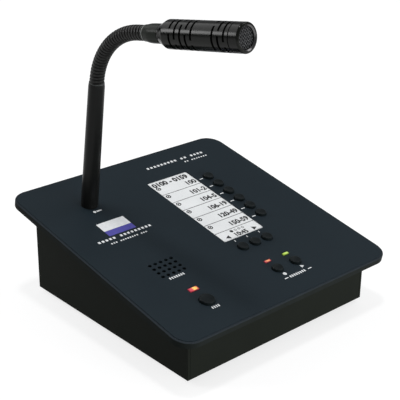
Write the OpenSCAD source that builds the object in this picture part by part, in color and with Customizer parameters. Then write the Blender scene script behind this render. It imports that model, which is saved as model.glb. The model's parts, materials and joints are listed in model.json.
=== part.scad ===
// Desk paging console: a sloped key panel on a sheet case, with a display, keys, a loudspeaker
// and a gooseneck microphone. Millimetres, +Z up, front towards -Y, origin under the middle.

/* [Panel] */
// Width of the top panel
panel_w = 150; // [140:1:170]
// Length of the top panel along its slope
panel_l = 149; // [140:1:170]
// Thickness of the panel plate
panel_t = 3.2; // [2.8:0.1:4]
// Thickness of the printed sheet on the plate
overlay_t = 0.3; // [0.2:0.05:0.5]
// Slope of the panel
tilt = 10.9; // [8:0.1:14]
// Corner radius of the panel
corner_r = 10; // [6:0.5:14]
// Rounding of the top edge of the plate
edge_r = 0.3; // [0.2:0.1:1.2]
// Border of bare plate around the printed sheet
overlay_inset = 1.4; // [1.2:0.1:3]

/* [Case] */
// Height of the front top edge of the panel above the case bottom
front_edge_h = 27.5; // [26:0.5:36]
// How far the panel stands out past the side walls
side_overhang = 11; // [8:0.5:13]
// How far the panel stands out past the front wall
front_overhang = 10; // [8:0.5:11]
// How far the panel stands out past the back wall
back_overhang = 10; // [8:0.5:12]
// Sheet thickness of the walls and the bottom cover
wall = 1.5; // [1.2:0.1:2]
// Width of the side flanges under the panel
side_flange = 7.5; // [7.2:0.1:7.8]
// Width of the front and back flanges under the panel
end_flange = 3.5; // [3:0.1:4]
// Gap at each end of the front and back walls, seen as a seam
seam = 0.15; // [0.1:0.05:0.25]
// Height of the rubber feet
foot_h = 2.5; // [2:0.1:5]
// Diameter of the rubber feet
foot_d = 12; // [8:0.5:16]
// Distance from the walls to the middle of each foot
foot_inset = 15; // [13:0.5:22]

/* [Display] */
// Middle of the display and of the keys below it, across the panel
display_u = 15.5; // [14:0.1:16]
// Width of the visible display area
display_w = 29.4; // [27:0.1:30]
// Length of the visible display area
display_l = 67; // [60:0.5:67.5]
// Border of the display glass under the sheet at the sides
glass_side = 1.9; // [1.5:0.1:2]
// Border of the display glass at the front
glass_front = 3.4; // [2.5:0.1:3.6]
// Border of the display glass at the back
glass_back = 5.7; // [4:0.1:6]
// Thickness of the display glass
glass_t = 1.1; // [0.8:0.1:1.4]
// Thickness of the sheet metal that holds the display from below
retainer_t = 1.2; // [1:0.1:1.4]
// Length of that sheet metal behind the display glass
retainer_tail = 5; // [4.9:0.1:6]
// Gap between that sheet metal and the flange of the back wall
retainer_gap = 1.1; // [0.6:0.1:2]

/* [Keys] */
// Diameter of the small key caps
cap_d = 6; // [5:0.1:6.4]
// Diameter of the talk key cap
talk_cap_d = 8; // [6.4:0.1:8.6]
// Height of the key caps above the panel
cap_h = 1.5; // [1.3:0.1:3]
// Depth of the hollow in the top of a key cap
dish = 0.3; // [0.1:0.05:0.5]
// Travel of a key
travel = 1; // [0.6:0.1:1.1]
// Gap between a key cap and its hole
cap_gap = 0.3; // [0.2:0.05:0.4]
// Spacing of the keys beside and below the display
key_pitch = 9; // [8.8:0.1:9.2]
// Distance from the middle of the display to the zone keys
zone_offset = 23.1; // [22.6:0.1:24]
// First zone key, from the front edge of the visible display area
zone_step = 11.1; // [9:0.1:13]
// Row of menu keys, in front of the visible display area
menu_step = 8.3; // [8.1:0.1:10]
// Row of the record and play keys, from the panel's front edge
memo_v = 22.5; // [21.6:0.1:25]
// Half the distance between the record and play keys
memo_offset = 6.75; // [6:0.05:8]
// Talk key, from the panel's front edge
talk_v = 21.8; // [21.6:0.1:24]
// How far the talk key and its light stand left of the loudspeaker's middle line
talk_left = 0.6; // [0:0.1:1]

/* [Lights] */
// Length of the talk light across the panel
talk_light_w = 5.6; // [5:0.1:9]
// Width of the talk light
talk_light_l = 2.5; // [2:0.1:4]
// Length of the small lights across the panel
light_w = 4; // [3.6:0.1:6]
// Width of the small lights
light_l = 1.5; // [1.2:0.1:2.6]
// Distance from a key's middle to the talk light
talk_light_step = 10.3; // [10:0.1:11]
// Distance from a key's middle to the small lights
light_step = 7.6; // [7.3:0.1:9]
// Height of the lights above the panel
light_h = 0.4; // [0.2:0.1:0.8]

/* [Speaker] */
// Gap between the left wall's flange and the loudspeaker
speaker_side = 0.9; // [0.6:0.1:2]
// Middle of the loudspeaker, from the panel's front edge
speaker_v = 53.4; // [53:0.1:58]
// Outer diameter of the loudspeaker
speaker_d = 26; // [25:0.1:26.4]
// Diameter of a grille hole
grille_hole = 2.2; // [1.6:0.1:2.6]
// Spacing of the grille holes
grille_pitch = 3.55; // [3.2:0.05:3.7]

/* [Gooseneck] */
// Distance from the panel's back edge to the neck
neck_back = 28.7; // [26:0.1:34]
// Backward lean of the neck from square to the panel
neck_lean = 2.9; // [0:0.1:5]
// Turn of the bend towards the right
neck_turn = 6; // [0:0.5:15]
// Length of the stiff sleeve
sleeve_l = 73; // [55:0.5:85]
// Diameter of the sleeve at the panel
sleeve_base_d = 9.6; // [9:0.1:11]
// Diameter of the sleeve at its top
sleeve_top_d = 8.7; // [8.6:0.1:9.2]
// Outer diameter of the flexible tube
flex_d = 7.8; // [7.2:0.1:8]
// Bore of the flexible tube and the neck parts
flex_bore = 4; // [3:0.1:4.4]
// Straight length of the flexible tube seen above the sleeve
flex_low = 0.4; // [0.3:0.1:8]
// Straight length of the flexible tube seen behind the coupling
flex_up = 5.9; // [4.5:0.1:10]
// Length of the flexible tube held in the sleeve
sleeve_socket = 7; // [6.8:0.1:9]
// Length of the flexible tube held in the coupling
coupling_socket = 3.3; // [2.8:0.1:4]
// Radius of the bend
bend_r = 36.9; // [32:0.1:48]
// Angle of the bend
bend = 73.6; // [50:0.1:85]
// Spacing of the ribs on the flexible tube
rib_pitch = 1.9; // [1.6:0.1:2.4]
// Depth of the ribs
rib_depth = 0.5; // [0.3:0.05:0.7]

/* [Microphone] */
// Diameter of the microphone body
mic_d = 14.2; // [13.4:0.1:15]
// Diameter of the coupling between neck and microphone
coupling_d = 9.6; // [9.3:0.1:10]
// Diameter of the coupling's rear end
coupling_end_d = 8.3; // [8.2:0.1:8.6]
// Length of the coupling
coupling_l = 11; // [9:0.1:14]
// Length of the rear cone of the microphone
cone_l = 5.5; // [5:0.1:7]
// Length of the microphone body behind the front ring
mic_l = 49.6; // [48:0.1:60]
// Height of the front ring
ring_h = 2.8; // [2.4:0.1:3.6]
// Width of a slot in the microphone body
slot_w = 1.2; // [0.8:0.1:1.6]
// Spacing of the slot rings
slot_pitch = 3.45; // [2.8:0.05:3.6]
// Angle of one slot
slot_angle = 100; // [70:5:105]
// Turn of the slot rings about the microphone's axis
slot_turn = 97; // [0:1:120]

/* [Hidden] */
$fn = 64;
// Small and large helper lengths
bit = 0.01;
big = 400;
clear = 0.3;
// Panel frame: u across, v up the slope from the front edge, n square to the panel
stack = panel_t + overlay_t;
front_reach = edge_r * (cos(tilt) - 1) + (overlay_t + edge_r) * sin(tilt);
back_reach = panel_l * cos(tilt) + stack * sin(tilt);
panel_y = -(front_reach + back_reach) / 2;
panel_z = foot_h + front_edge_h;
// Case outline on the desk
case_w = panel_w - 2 * side_overhang;
case_front = panel_y + front_overhang;
case_back = panel_y + back_reach - back_overhang;
case_d = case_back - case_front;
inner_w = case_w - 2 * wall;
inner_front = case_front + wall;
inner_back = case_back - wall;
cover_top = foot_h + wall;
// Fasteners
stud_d = 3;
stud_l = 6.5;
stud_seat = 1.5;
nut_d = 6.3;
nut_h = 2.4;
stud_side = 3.7;
stud_u = inner_w / 2 - stud_side;
stud_front_v = 28;
stud_back = 26;
stud_back_v = panel_l - stud_back;
cover_screw_d = 3;
cover_screw_l = 6;
cover_head_d = 5.6;
cover_head_h = 1.6;
bottom_flange = 9;
cover_screw_side = 5.5;
cover_screw_x = inner_w / 2 - cover_screw_side;
cover_screw_in = 13;
bracket_leg = 8;
bracket_h = 13;
screw_d = 2.4;
screw_l = 4;
screw_head_d = 4.4;
screw_head_h = 1.6;
screw_hole = 2.5;
screw_socket_d = 1.6;
socket_depth = 0.9;
// Display pieces, set forward from the flange of the back wall
retainer_back = panel_v(inner_back - end_flange, -stack) - retainer_gap;
glass_w = display_w + 2 * glass_side;
glass_l = display_l + glass_front + glass_back;
glass_v = retainer_back - retainer_tail - glass_l;
display_v = glass_v + glass_front;
glass_gap = 0.2;
window_gap = 0.1;
window_r = 1;
retainer_side = 7.5;
retainer_edge = 1.3;
retainer_step = 1.2;
retainer_left = display_u - glass_w / 2 - retainer_side;
retainer_right = display_u + glass_w / 2 + retainer_edge;
retainer_front = glass_v + retainer_step;
retainer_hole_in = 2.6;
retainer_hole_front = 8;
retainer_hole_back = 14;
retainer_hole_left = 8;
retainer_hole_right = 10;
// Key stack below the panel
flange_step = 1;
flange_t = 1;
key_flange_n = -stack - clear;
board_drop = 8.5;
board_n = -stack - board_drop;
board_t = 1.6;
switch_w = 7;
switch_h = 5;
stem_d = 3.4;
stem_gap = 0.25;
well_floor = 1.8;
stem_room = 0.2;
well_n = board_n + well_floor;
stem_n = well_n + stem_room + travel;
cap_edge = 0.5;
zone_u = display_u + zone_offset;
zone_v = display_v + zone_step;
menu_v = display_v - menu_step;
column_u = side_flange + speaker_side + speaker_d / 2 - inner_w / 2;
light_gap = 0.15;
light_body = 6;
leg_w = 0.6;
// Boards under the panel
pillar_d = 4.6;
pillar_in = 3.2;
control_side = 23.5;
control_edge = 9.5;
control_end = 8;
control_left = display_u - control_side;
control_right = zone_u + control_edge;
control_front = panel_v(inner_front + end_flange, -stack) + pillar_d / 2 + clear - pillar_in;
control_back = zone_v + 5 * key_pitch + control_end;
talk_board_w = speaker_d;
talk_board_end = 7;
talk_board_gap = 0.6;
talk_board_front = talk_v - talk_board_end;
talk_board_back = speaker_v - speaker_d / 2 - talk_board_gap;
control_holes = [
    [control_left + pillar_in, control_front + pillar_in],
    [control_right - pillar_in, control_front + pillar_in],
    [control_left + pillar_in, menu_v],
    [control_right - pillar_in, control_back - pillar_in]];
talk_holes = [
    [column_u - talk_board_w / 2 + pillar_in, talk_board_back - pillar_in],
    [column_u + talk_board_w / 2 - pillar_in, talk_board_back - pillar_in]];
retainer_holes = [
    [retainer_left + retainer_hole_in, retainer_front + retainer_hole_front],
    [retainer_left + retainer_hole_in, retainer_back - retainer_hole_back],
    [display_u - retainer_hole_left, retainer_back - retainer_hole_in],
    [display_u + retainer_hole_right, retainer_back - retainer_hole_in]];
small_keys = [
    for (i = [0:5]) [zone_u, zone_v + i * key_pitch],
    for (i = [-1:1]) [display_u + i * key_pitch, menu_v],
    [display_u - memo_offset, memo_v],
    [display_u + memo_offset, memo_v]];
talk_u = column_u - talk_left;
talk_key = [talk_u, talk_v];
talk_light = [talk_u, talk_v + talk_light_step];
record_light = [display_u - memo_offset, memo_v + light_step];
play_light = [display_u + memo_offset, memo_v + light_step];
// Speaker
gasket_t = 1;
gasket_w = 2;
basket_h = 4.5;
basket_d = 17;
magnet_d = 14;
magnet_h = 3.5;
speaker_n = -stack - gasket_t;
basket_n = speaker_n - basket_h;
// Main board
main_side = 3.5;
main_w = inner_w - 2 * bottom_flange - 2 * main_side;
main_d = 76;
main_gap = 1.5;
main_pillar_h = 5;
main_back = inner_back - main_gap;
main_front = main_back - main_d;
main_n = cover_top + main_pillar_h;
main_top = main_n + board_t;
main_hole_in = 3;
main_holes = [
    for (x = [-1, 1], y = [main_front + main_hole_in, main_back - main_hole_in])
        [x * (main_w / 2 - main_hole_in), y]];
socket_x = 25;
socket_w = 16;
socket_h = 13.5;
socket_d = 21;
plug_w = 11.8;
plug_h = 8.2;
plug_d = 13;
plug_floor = 3.6;
latch_w = 6;
latch_h = 2;
header_h = 5;
header_d = 6;
ribbon_w = 22;
ribbon_t = 1;
ribbon_side = 4;
ribbon_step = 43;
ribbon_u = display_u + ribbon_side;
ribbon_v = display_v + ribbon_step;
ribbon_n = board_n - board_t - header_h;
main_header_h = 8;
header_top = main_top + main_header_h;
lead_d = 3;
lead_header_w = 6;
lead_top = main_top + header_h;
// Chip, power module and capacitor cans on the main board
chip_w = 14;
chip_h = 2;
chip_in = 14;
chip_left = 9;
power_w = 16;
power_d = 12;
power_h = 6;
power_in = 8;
power_left = 6;
can_d = 7.5;
can_h = 8;
can_pitch = 9;
can_side = 6;
can_in = 16;
// Neck
neck_v = panel_l - neck_back;
thread_d = 7;
thread_gap = 0.1;
ferrule_drop = 9;
ferrule_n = -stack - ferrule_drop;
spigot_d = 6;
spigot_l = 6;
spigot_gap = 0.05;
washer_d = 14;
washer_t = 1;
neck_nut_d = 12.4;
neck_nut_h = 4;
socket_gap = 0.05;
sleeve_ease = 0.25;
sleeve_ease_l = 2.2;
// Path of the flexible tube, measured from its start inside the sleeve
lead_in = sleeve_socket + flex_low;
lead_out = flex_up + coupling_socket;
arc_l = bend_r * bend * PI / 180;
flex_l = lead_in + arc_l + lead_out;
flex_mid = lead_in + arc_l / 2;
flex_start = sleeve_l - sleeve_socket;
sides = 16;
// Microphone, measured from the rear face of the coupling
body_front = coupling_l + mic_l;
mic_wall = 0.9;
mic_bore = mic_d - 2 * mic_wall;
ring_wall = 1.85;
mic_hole = mic_d - 2 * ring_wall;
spigot_in = 5;
tail_d = 7;
ring_bevel = 0.64;
ring_edge = 1;
cone_step = 0.35;
cone_round = 0.1;
ring_tail = 2;
mesh_lip = 0.5;
mesh_sink = 0.9;
mesh_t = 0.4;
mesh_z = body_front + ring_h - mesh_sink - mesh_t;
mesh_gap = 0.55;
mesh_pitch = 0.9;
capsule_d = 9.7;
capsule_h = 6.5;
capsule_step = 0.5;
holder_l = 7;
grub_d = 2;
grub_z = coupling_l + 3.3;
grub_turn = 149;
slot_step = 40;
rear_slots = [for (i = [0:4]) coupling_l + 10.35 + i * slot_pitch];
front_slots = [for (i = [2:-1:0]) body_front - 5.6 - i * slot_pitch];
groove_z = body_front - 3;
groove_w = 0.5;
groove_depth = 0.4;

function world(u, v, n) = [
    u,
    panel_y + v * cos(tilt) - n * sin(tilt),
    panel_z + v * sin(tilt) + n * cos(tilt)];
function panel_v(y, n) = (y - panel_y + n * sin(tilt)) / cos(tilt);
function path_angle(s) = min(max(s - lead_in, 0) / bend_r * 180 / PI, bend);
function path_extra(s) = max(s - lead_in - arc_l, 0);
function path_point(s) = [
    0,
    -bend_r * (1 - cos(path_angle(s))) - path_extra(s) * sin(path_angle(s)),
    flex_start + min(s, lead_in) + bend_r * sin(path_angle(s)) + path_extra(s) * cos(path_angle(s))];
function fade(s) = min(1, min(s / sleeve_socket, (flex_l - s) / coupling_socket));
function rib(s, turn) = rib_depth / 2 * (fade(s) * cos(360 * s / rib_pitch - turn) - 1);
function ring_point(s, turn, r) = path_point(s)
    + r * [cos(turn), sin(turn) * cos(path_angle(s)), sin(turn) * sin(path_angle(s))];

// Placing children in the panel frame, the neck frame and the microphone frame
module on_panel() {
    translate([0, panel_y, panel_z])
        rotate([tilt, 0, 0])
            children();
}

module on_neck() {
    on_panel()
        translate([column_u, neck_v, 0])
            rotate([-neck_lean, 0, 0])
                rotate([0, 0, neck_turn])
                    children();
}

module on_head() {
    on_neck()
        translate(path_point(flex_l - coupling_socket))
            rotate([bend, 0, 0])
                children();
}

// All space below the underside of the panel
module under_panel() {
    on_panel()
        translate([-big / 2, -big / 2, -big - stack])
            cube(big);
}

module box_uvn(u0, u1, v0, v1, n0, n1) {
    translate([u0, v0, n0])
        cube([u1 - u0, v1 - v0, n1 - n0]);
}

module post(at, d, n0, n1) {
    translate([at[0], at[1], n0])
        cylinder(d = d, h = n1 - n0);
}

module rounded_rect(w, l, r) {
    square([w - 2 * r, l], center = true);
    square([w, l - 2 * r], center = true);
    for (x = [-1, 1], y = [-1, 1])
        translate([x * (w / 2 - r), y * (l / 2 - r)])
            circle(r);
}

// Cross-section of the plate with eased top corners, standing on its bottom line
module eased_section(w) {
    translate([-w / 2, 0])
        square([w, panel_t - edge_r]);
    translate([-w / 2 + edge_r, 0])
        square([w - 2 * edge_r, panel_t]);
    for (x = [-1, 1])
        translate([x * (w / 2 - edge_r), panel_t - edge_r])
            circle(edge_r);
}

module eased_plate() {
    rotate([90, 0, 0])
        linear_extrude(panel_l - 2 * corner_r, center = true)
            eased_section(panel_w);
    rotate([90, 0, 90])
        linear_extrude(panel_w - 2 * corner_r, center = true)
            eased_section(panel_l);
    for (x = [-1, 1], y = [-1, 1])
        translate([x * (panel_w / 2 - corner_r), y * (panel_l / 2 - corner_r), 0])
            rotate_extrude() {
                square([corner_r, panel_t - edge_r]);
                square([corner_r - edge_r, panel_t]);
                translate([corner_r - edge_r, panel_t - edge_r])
                    circle(edge_r);
            }
}

// Openings shared by the plate and the printed sheet
module panel_openings() {
    for (k = small_keys)
        post(k, cap_d + 2 * cap_gap, -stack - bit, bit);
    post(talk_key, talk_cap_d + 2 * cap_gap, -stack - bit, bit);
    light_block(talk_light, talk_light_w, talk_light_l, light_gap, -stack - bit, bit);
    light_block(record_light, light_w, light_l, light_gap, -stack - bit, bit);
    light_block(play_light, light_w, light_l, light_gap, -stack - bit, bit);
    for (i = [-2:2], j = [-1.5:1.5])
        post([column_u + i * grille_pitch, speaker_v + j * grille_pitch], grille_hole, -stack - bit, bit);
    post([column_u, neck_v], thread_d + 2 * thread_gap, -stack - bit, bit);
}

module light_block(at, w, l, gap, n0, n1) {
    box_uvn(at[0] - w / 2 - gap, at[0] + w / 2 + gap, at[1] - l / 2 - gap, at[1] + l / 2 + gap, n0, n1);
}

module top_panel() {
    color([0.16, 0.18, 0.2])
        on_panel()
            difference() {
                translate([0, panel_l / 2, -stack])
                    eased_plate();
                panel_openings();
                box_uvn(display_u - glass_w / 2 - glass_gap, display_u + glass_w / 2 + glass_gap,
                    glass_v - glass_gap, glass_v + glass_l + glass_gap, -stack - bit, bit);
                for (x = [-1, 1], v = [stud_front_v, stud_back_v])
                    post([x * stud_u, v], stud_d, -stack - bit, -stack + stud_seat);
                for (h = retainer_holes)
                    post(h, screw_hole, -stack - bit, -overlay_t - 0.3);
            }
}

module panel_overlay() {
    color([0.17, 0.19, 0.22])
        on_panel()
            difference() {
                translate([0, panel_l / 2, -overlay_t])
                    linear_extrude(overlay_t)
                        rounded_rect(panel_w - 2 * overlay_inset, panel_l - 2 * overlay_inset,
                            corner_r - overlay_inset);
                panel_openings();
                translate([display_u, display_v + display_l / 2, -stack])
                    linear_extrude(stack + bit)
                        rounded_rect(display_w, display_l, window_r);
            }
}

module panel_studs() {
    color([0.7, 0.7, 0.72])
        on_panel()
            for (x = [-1, 1], v = [stud_front_v, stud_back_v])
                post([x * stud_u, v], stud_d, -stack - stud_l, -stack + stud_seat);
}

module panel_nuts() {
    color([0.72, 0.72, 0.74])
        on_panel()
            for (x = [-1, 1], v = [stud_front_v, stud_back_v])
                difference() {
                    translate([x * stud_u, v, -stack - wall - nut_h])
                        cylinder(d = nut_d, h = nut_h, $fn = 6);
                    post([x * stud_u, v], stud_d + 0.1, -stack - wall - nut_h - bit, -stack);
                }
}

// A side wall with a flange under the panel and a flange over the bottom cover
module side_wall(side) {
    x_out = side * case_w / 2;
    x_in = side * inner_w / 2;
    x_flange = side * (inner_w / 2 - side_flange);
    x_bottom = side * (inner_w / 2 - bottom_flange);
    v_front = panel_v(inner_front + end_flange + wall, -stack - wall);
    v_back = panel_v(inner_back - end_flange - wall, -stack - wall);
    color([0.1, 0.1, 0.09])
        difference() {
            union() {
                intersection() {
                    box_uvn(min(x_out, x_in), max(x_out, x_in), case_front, case_back, foot_h, big);
                    under_panel();
                }
                on_panel()
                    box_uvn(min(x_in, x_flange) - bit, max(x_in, x_flange) + bit, v_front, v_back,
                        -stack - wall, -stack);
                box_uvn(min(x_in, x_bottom) - bit, max(x_in, x_bottom) + bit,
                    inner_front + wall, inner_back - wall, cover_top, cover_top + wall);
            }
            on_panel()
                for (v = [stud_front_v, stud_back_v])
                    post([side * stud_u, v], stud_d + 0.4, -stack - 2 * wall, -stack + bit);
            for (y = [inner_front + cover_screw_in, inner_back - cover_screw_in])
                post([side * cover_screw_x, y], cover_screw_d + 0.1, cover_top - bit, cover_top + 2 * wall);
        }
}

module left_wall() {
    side_wall(-1);
}

module right_wall() {
    side_wall(1);
}

// A front or back wall between the side walls, with a flange under the panel
module end_wall(y_out, y_in, y_flange) {
    intersection() {
        union() {
            box_uvn(-inner_w / 2 + seam, inner_w / 2 - seam, min(y_out, y_in), max(y_out, y_in), foot_h, big);
            intersection() {
                box_uvn(-inner_w / 2 + seam, inner_w / 2 - seam,
                    min(y_in, y_flange), max(y_in, y_flange), foot_h, big);
                on_panel()
                    box_uvn(-big / 2, big / 2, -big, big, -stack - wall, big);
            }
        }
        under_panel();
    }
}

module front_wall() {
    color([0.1, 0.1, 0.09])
        end_wall(case_front, inner_front, inner_front + end_flange);
}

module back_wall() {
    color([0.1, 0.1, 0.09])
        difference() {
            end_wall(case_back, inner_back, inner_back - end_flange);
            box_uvn(socket_x - socket_w / 2 - clear, socket_x + socket_w / 2 + clear,
                inner_back - bit, case_back + bit, main_top - clear, main_top + socket_h + clear);
        }
}

module corner_brackets() {
    leg = bracket_leg;
    low = cover_top + 2 * wall;
    high = low + bracket_h;
    color([0.6, 0.6, 0.62])
        for (x = [-1, 1], y = [-1, 1]) {
            x_in = x * inner_w / 2;
            y_in = y < 0 ? inner_front : inner_back;
            box_uvn(min(x_in, x_in - x * leg), max(x_in, x_in - x * leg),
                min(y_in, y_in - y * wall), max(y_in, y_in - y * wall), low, high);
            box_uvn(min(x_in, x_in - x * wall), max(x_in, x_in - x * wall),
                min(y_in, y_in - y * leg), max(y_in, y_in - y * leg), low, high);
        }
}

module bottom_cover() {
    color([0.12, 0.12, 0.12])
        difference() {
            box_uvn(-inner_w / 2 + clear, inner_w / 2 - clear, inner_front + clear, inner_back - clear,
                foot_h, cover_top);
            for (x = [-1, 1], y = [inner_front + cover_screw_in, inner_back - cover_screw_in])
                post([x * cover_screw_x, y], cover_screw_d + 0.4, foot_h - bit, cover_top + bit);
        }
}

module cover_screws() {
    color([0.7, 0.7, 0.72])
        for (x = [-1, 1], y = [inner_front + cover_screw_in, inner_back - cover_screw_in])
            difference() {
                union() {
                    post([x * cover_screw_x, y], cover_head_d, foot_h - cover_head_h, foot_h);
                    post([x * cover_screw_x, y], cover_screw_d, foot_h - bit, foot_h + cover_screw_l);
                }
                translate([x * cover_screw_x, y, foot_h - cover_head_h - bit])
                    cylinder(d = 2, h = 1, $fn = 6);
            }
}

module feet() {
    color([0.05, 0.05, 0.05])
        for (x = [-1, 1], y = [inner_front + foot_inset, inner_back - foot_inset])
            translate([x * (inner_w / 2 - foot_inset - 1), y, 0])
                cylinder(d1 = foot_d - 1, d2 = foot_d, h = foot_h);
}

module display_window() {
    color([0.85, 0.87, 0.88, 0.6])
        on_panel()
            translate([display_u, display_v + display_l / 2, -overlay_t])
                linear_extrude(overlay_t)
                    rounded_rect(display_w - 2 * window_gap, display_l - 2 * window_gap, window_r);
}

module display_panel() {
    color([0.8, 0.82, 0.82])
        on_panel()
            box_uvn(display_u - glass_w / 2, display_u + glass_w / 2, glass_v, glass_v + glass_l,
                -overlay_t - glass_t, -overlay_t);
}

module display_board() {
    color([0.1, 0.35, 0.2])
        on_panel()
            box_uvn(display_u - glass_w / 2, display_u + glass_w / 2, glass_v, glass_v + glass_l,
                -stack, -overlay_t - glass_t);
}

module display_retainer() {
    color([0.65, 0.65, 0.67])
        on_panel()
            difference() {
                box_uvn(retainer_left, retainer_right, retainer_front, retainer_back,
                    -stack - retainer_t, -stack);
                for (h = retainer_holes)
                    post(h, screw_hole, -stack - retainer_t - bit, -stack + bit);
            }
}

module control_board() {
    color([0.08, 0.3, 0.18])
        on_panel()
            difference() {
                box_uvn(control_left, control_right, control_front, control_back, board_n - board_t, board_n);
                for (h = control_holes)
                    post(h, screw_hole, board_n - board_t - bit, board_n + bit);
            }
}

module talk_board() {
    color([0.08, 0.3, 0.18])
        on_panel()
            difference() {
                box_uvn(column_u - talk_board_w / 2, column_u + talk_board_w / 2,
                    talk_board_front, talk_board_back, board_n - board_t, board_n);
                for (h = talk_holes)
                    post(h, screw_hole, board_n - board_t - bit, board_n + bit);
            }
}

module board_pillars() {
    color([0.75, 0.62, 0.3]) {
        on_panel()
            for (h = concat(control_holes, talk_holes))
                difference() {
                    post(h, pillar_d, board_n, -stack);
                    post(h, screw_hole, board_n - bit, board_n + 5);
                }
        for (h = main_holes)
            difference() {
                post(h, pillar_d, cover_top, main_n);
                post(h, screw_hole, main_n - 4, main_n + bit);
            }
    }
}

// A small pan head screw standing on its head, with its shank upwards from zero
module small_screw() {
    difference() {
        union() {
            translate([0, 0, -screw_head_h])
                cylinder(d = screw_head_d, h = screw_head_h);
            translate([0, 0, -bit])
                cylinder(d = screw_d, h = screw_l + bit);
        }
        translate([0, 0, -screw_head_h - bit])
            cylinder(d = screw_socket_d, h = socket_depth, $fn = 6);
    }
}

module board_screws() {
    color([0.72, 0.72, 0.74]) {
        on_panel() {
            for (h = retainer_holes)
                translate([h[0], h[1], -stack - retainer_t])
                    small_screw();
            for (h = concat(control_holes, talk_holes))
                translate([h[0], h[1], board_n - board_t])
                    small_screw();
        }
        for (h = main_holes)
            translate([h[0], h[1], main_top])
                mirror([0, 0, 1])
                    small_screw();
    }
}

module key_switches() {
    color([0.2, 0.2, 0.2])
        on_panel()
            for (k = concat(small_keys, [talk_key]))
                difference() {
                    box_uvn(k[0] - switch_w / 2, k[0] + switch_w / 2, k[1] - switch_w / 2, k[1] + switch_w / 2,
                        board_n, board_n + switch_h);
                    post(k, stem_d + 2 * stem_gap, well_n, board_n + switch_h + bit);
                }
}

// A key cap with its flange under the panel and its stem in the switch
module key_cap(at, d) {
    top_r = d / 2 - cap_edge;
    dish_r = (top_r * top_r + dish * dish) / (2 * dish);
    color([0.04, 0.04, 0.045])
        on_panel()
            translate([at[0], at[1], 0])
                rotate_extrude()
                    difference() {
                        union() {
                            translate([0, stem_n])
                                square([stem_d / 2, cap_h - cap_edge - stem_n]);
                            translate([0, key_flange_n - flange_t])
                                square([d / 2 + flange_step, flange_t]);
                            translate([0, key_flange_n - flange_t])
                                square([d / 2, cap_h - cap_edge - key_flange_n + flange_t]);
                            translate([0, key_flange_n])
                                square([top_r, cap_h - key_flange_n]);
                            translate([top_r, cap_h - cap_edge])
                                circle(cap_edge);
                        }
                        translate([0, cap_h + dish_r - dish])
                            circle(dish_r, $fn = 96);
                    }
}

module zone_key_1() {
    key_cap(small_keys[0], cap_d);
}

module zone_key_2() {
    key_cap(small_keys[1], cap_d);
}

module zone_key_3() {
    key_cap(small_keys[2], cap_d);
}

module zone_key_4() {
    key_cap(small_keys[3], cap_d);
}

module zone_key_5() {
    key_cap(small_keys[4], cap_d);
}

module zone_key_6() {
    key_cap(small_keys[5], cap_d);
}

module menu_key_left() {
    key_cap(small_keys[6], cap_d);
}

module menu_key_middle() {
    key_cap(small_keys[7], cap_d);
}

module menu_key_right() {
    key_cap(small_keys[8], cap_d);
}

module record_key() {
    key_cap(small_keys[9], cap_d);
}

module play_key() {
    key_cap(small_keys[10], cap_d);
}

module talk_key_cap() {
    key_cap(talk_key, talk_cap_d);
}

// A light with a block lens through the panel and two legs down to its board
module light(at, w, l) {
    on_panel() {
        light_block(at, w, l, 0, -light_body, light_h);
        for (x = [-1, 1])
            light_block([at[0] + x * w / 4, at[1]], leg_w, leg_w, 0, board_n, bit - light_body);
    }
}

module talk_led() {
    color([1, 0.6, 0.3])
        light(talk_light, talk_light_w, talk_light_l);
}

module record_led() {
    color([0.9, 0.1, 0.1])
        light(record_light, light_w, light_l);
}

module play_led() {
    color([0.7, 0.9, 0.2])
        light(play_light, light_w, light_l);
}

module at_speaker() {
    on_panel()
        translate([column_u, speaker_v, 0])
            rotate_extrude()
                children();
}

module speaker_gasket() {
    color([0.1, 0.1, 0.1])
        at_speaker()
            translate([speaker_d / 2 - gasket_w, speaker_n])
                square([gasket_w, gasket_t]);
}

// Basket with an outer rim under the gasket and a seat for the cone
module speaker_frame() {
    r = speaker_d / 2;
    color([0.3, 0.3, 0.32])
        at_speaker()
            polygon([
                [r, speaker_n], [r - 2, speaker_n], [r - 2, speaker_n - 1], [r - 3.2, speaker_n - 1],
                [basket_d / 2 - 1, basket_n + 1], [0, basket_n + 1], [0, basket_n],
                [basket_d / 2, basket_n], [r - 1.6, speaker_n - 2], [r, speaker_n - 1.6]]);
}

module speaker_cone() {
    r = speaker_d / 2;
    color([0.15, 0.15, 0.16])
        at_speaker()
            polygon([
                [r - 2.1, speaker_n - 1], [r - 3.2, speaker_n - 1], [4, speaker_n - 2.3],
                [0, speaker_n - 1.3], [0, speaker_n - 0.9], [4, speaker_n - 1.9],
                [r - 3.2, speaker_n - 0.6], [r - 2.1, speaker_n - 0.6]]);
}

module speaker_magnet() {
    color([0.5, 0.5, 0.52])
        on_panel()
            post([column_u, speaker_v], magnet_d, basket_n - magnet_h, basket_n);
}

module main_board() {
    color([0.08, 0.3, 0.18])
        difference() {
            box_uvn(-main_w / 2, main_w / 2, main_front, main_back, main_n, main_top);
            for (h = main_holes)
                post(h, screw_hole, main_n - bit, main_top + bit);
        }
}

module network_socket() {
    color([0.6, 0.61, 0.63])
        difference() {
            box_uvn(socket_x - socket_w / 2, socket_x + socket_w / 2, case_back - socket_d, case_back,
                main_top, main_top + socket_h);
            box_uvn(socket_x - plug_w / 2, socket_x + plug_w / 2, case_back - plug_d, case_back + bit,
                main_top + plug_floor, main_top + plug_floor + plug_h);
            box_uvn(socket_x - latch_w / 2, socket_x + latch_w / 2, case_back - plug_d, case_back + bit,
                main_top + plug_floor - latch_h, main_top + plug_floor + bit);
        }
}

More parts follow.
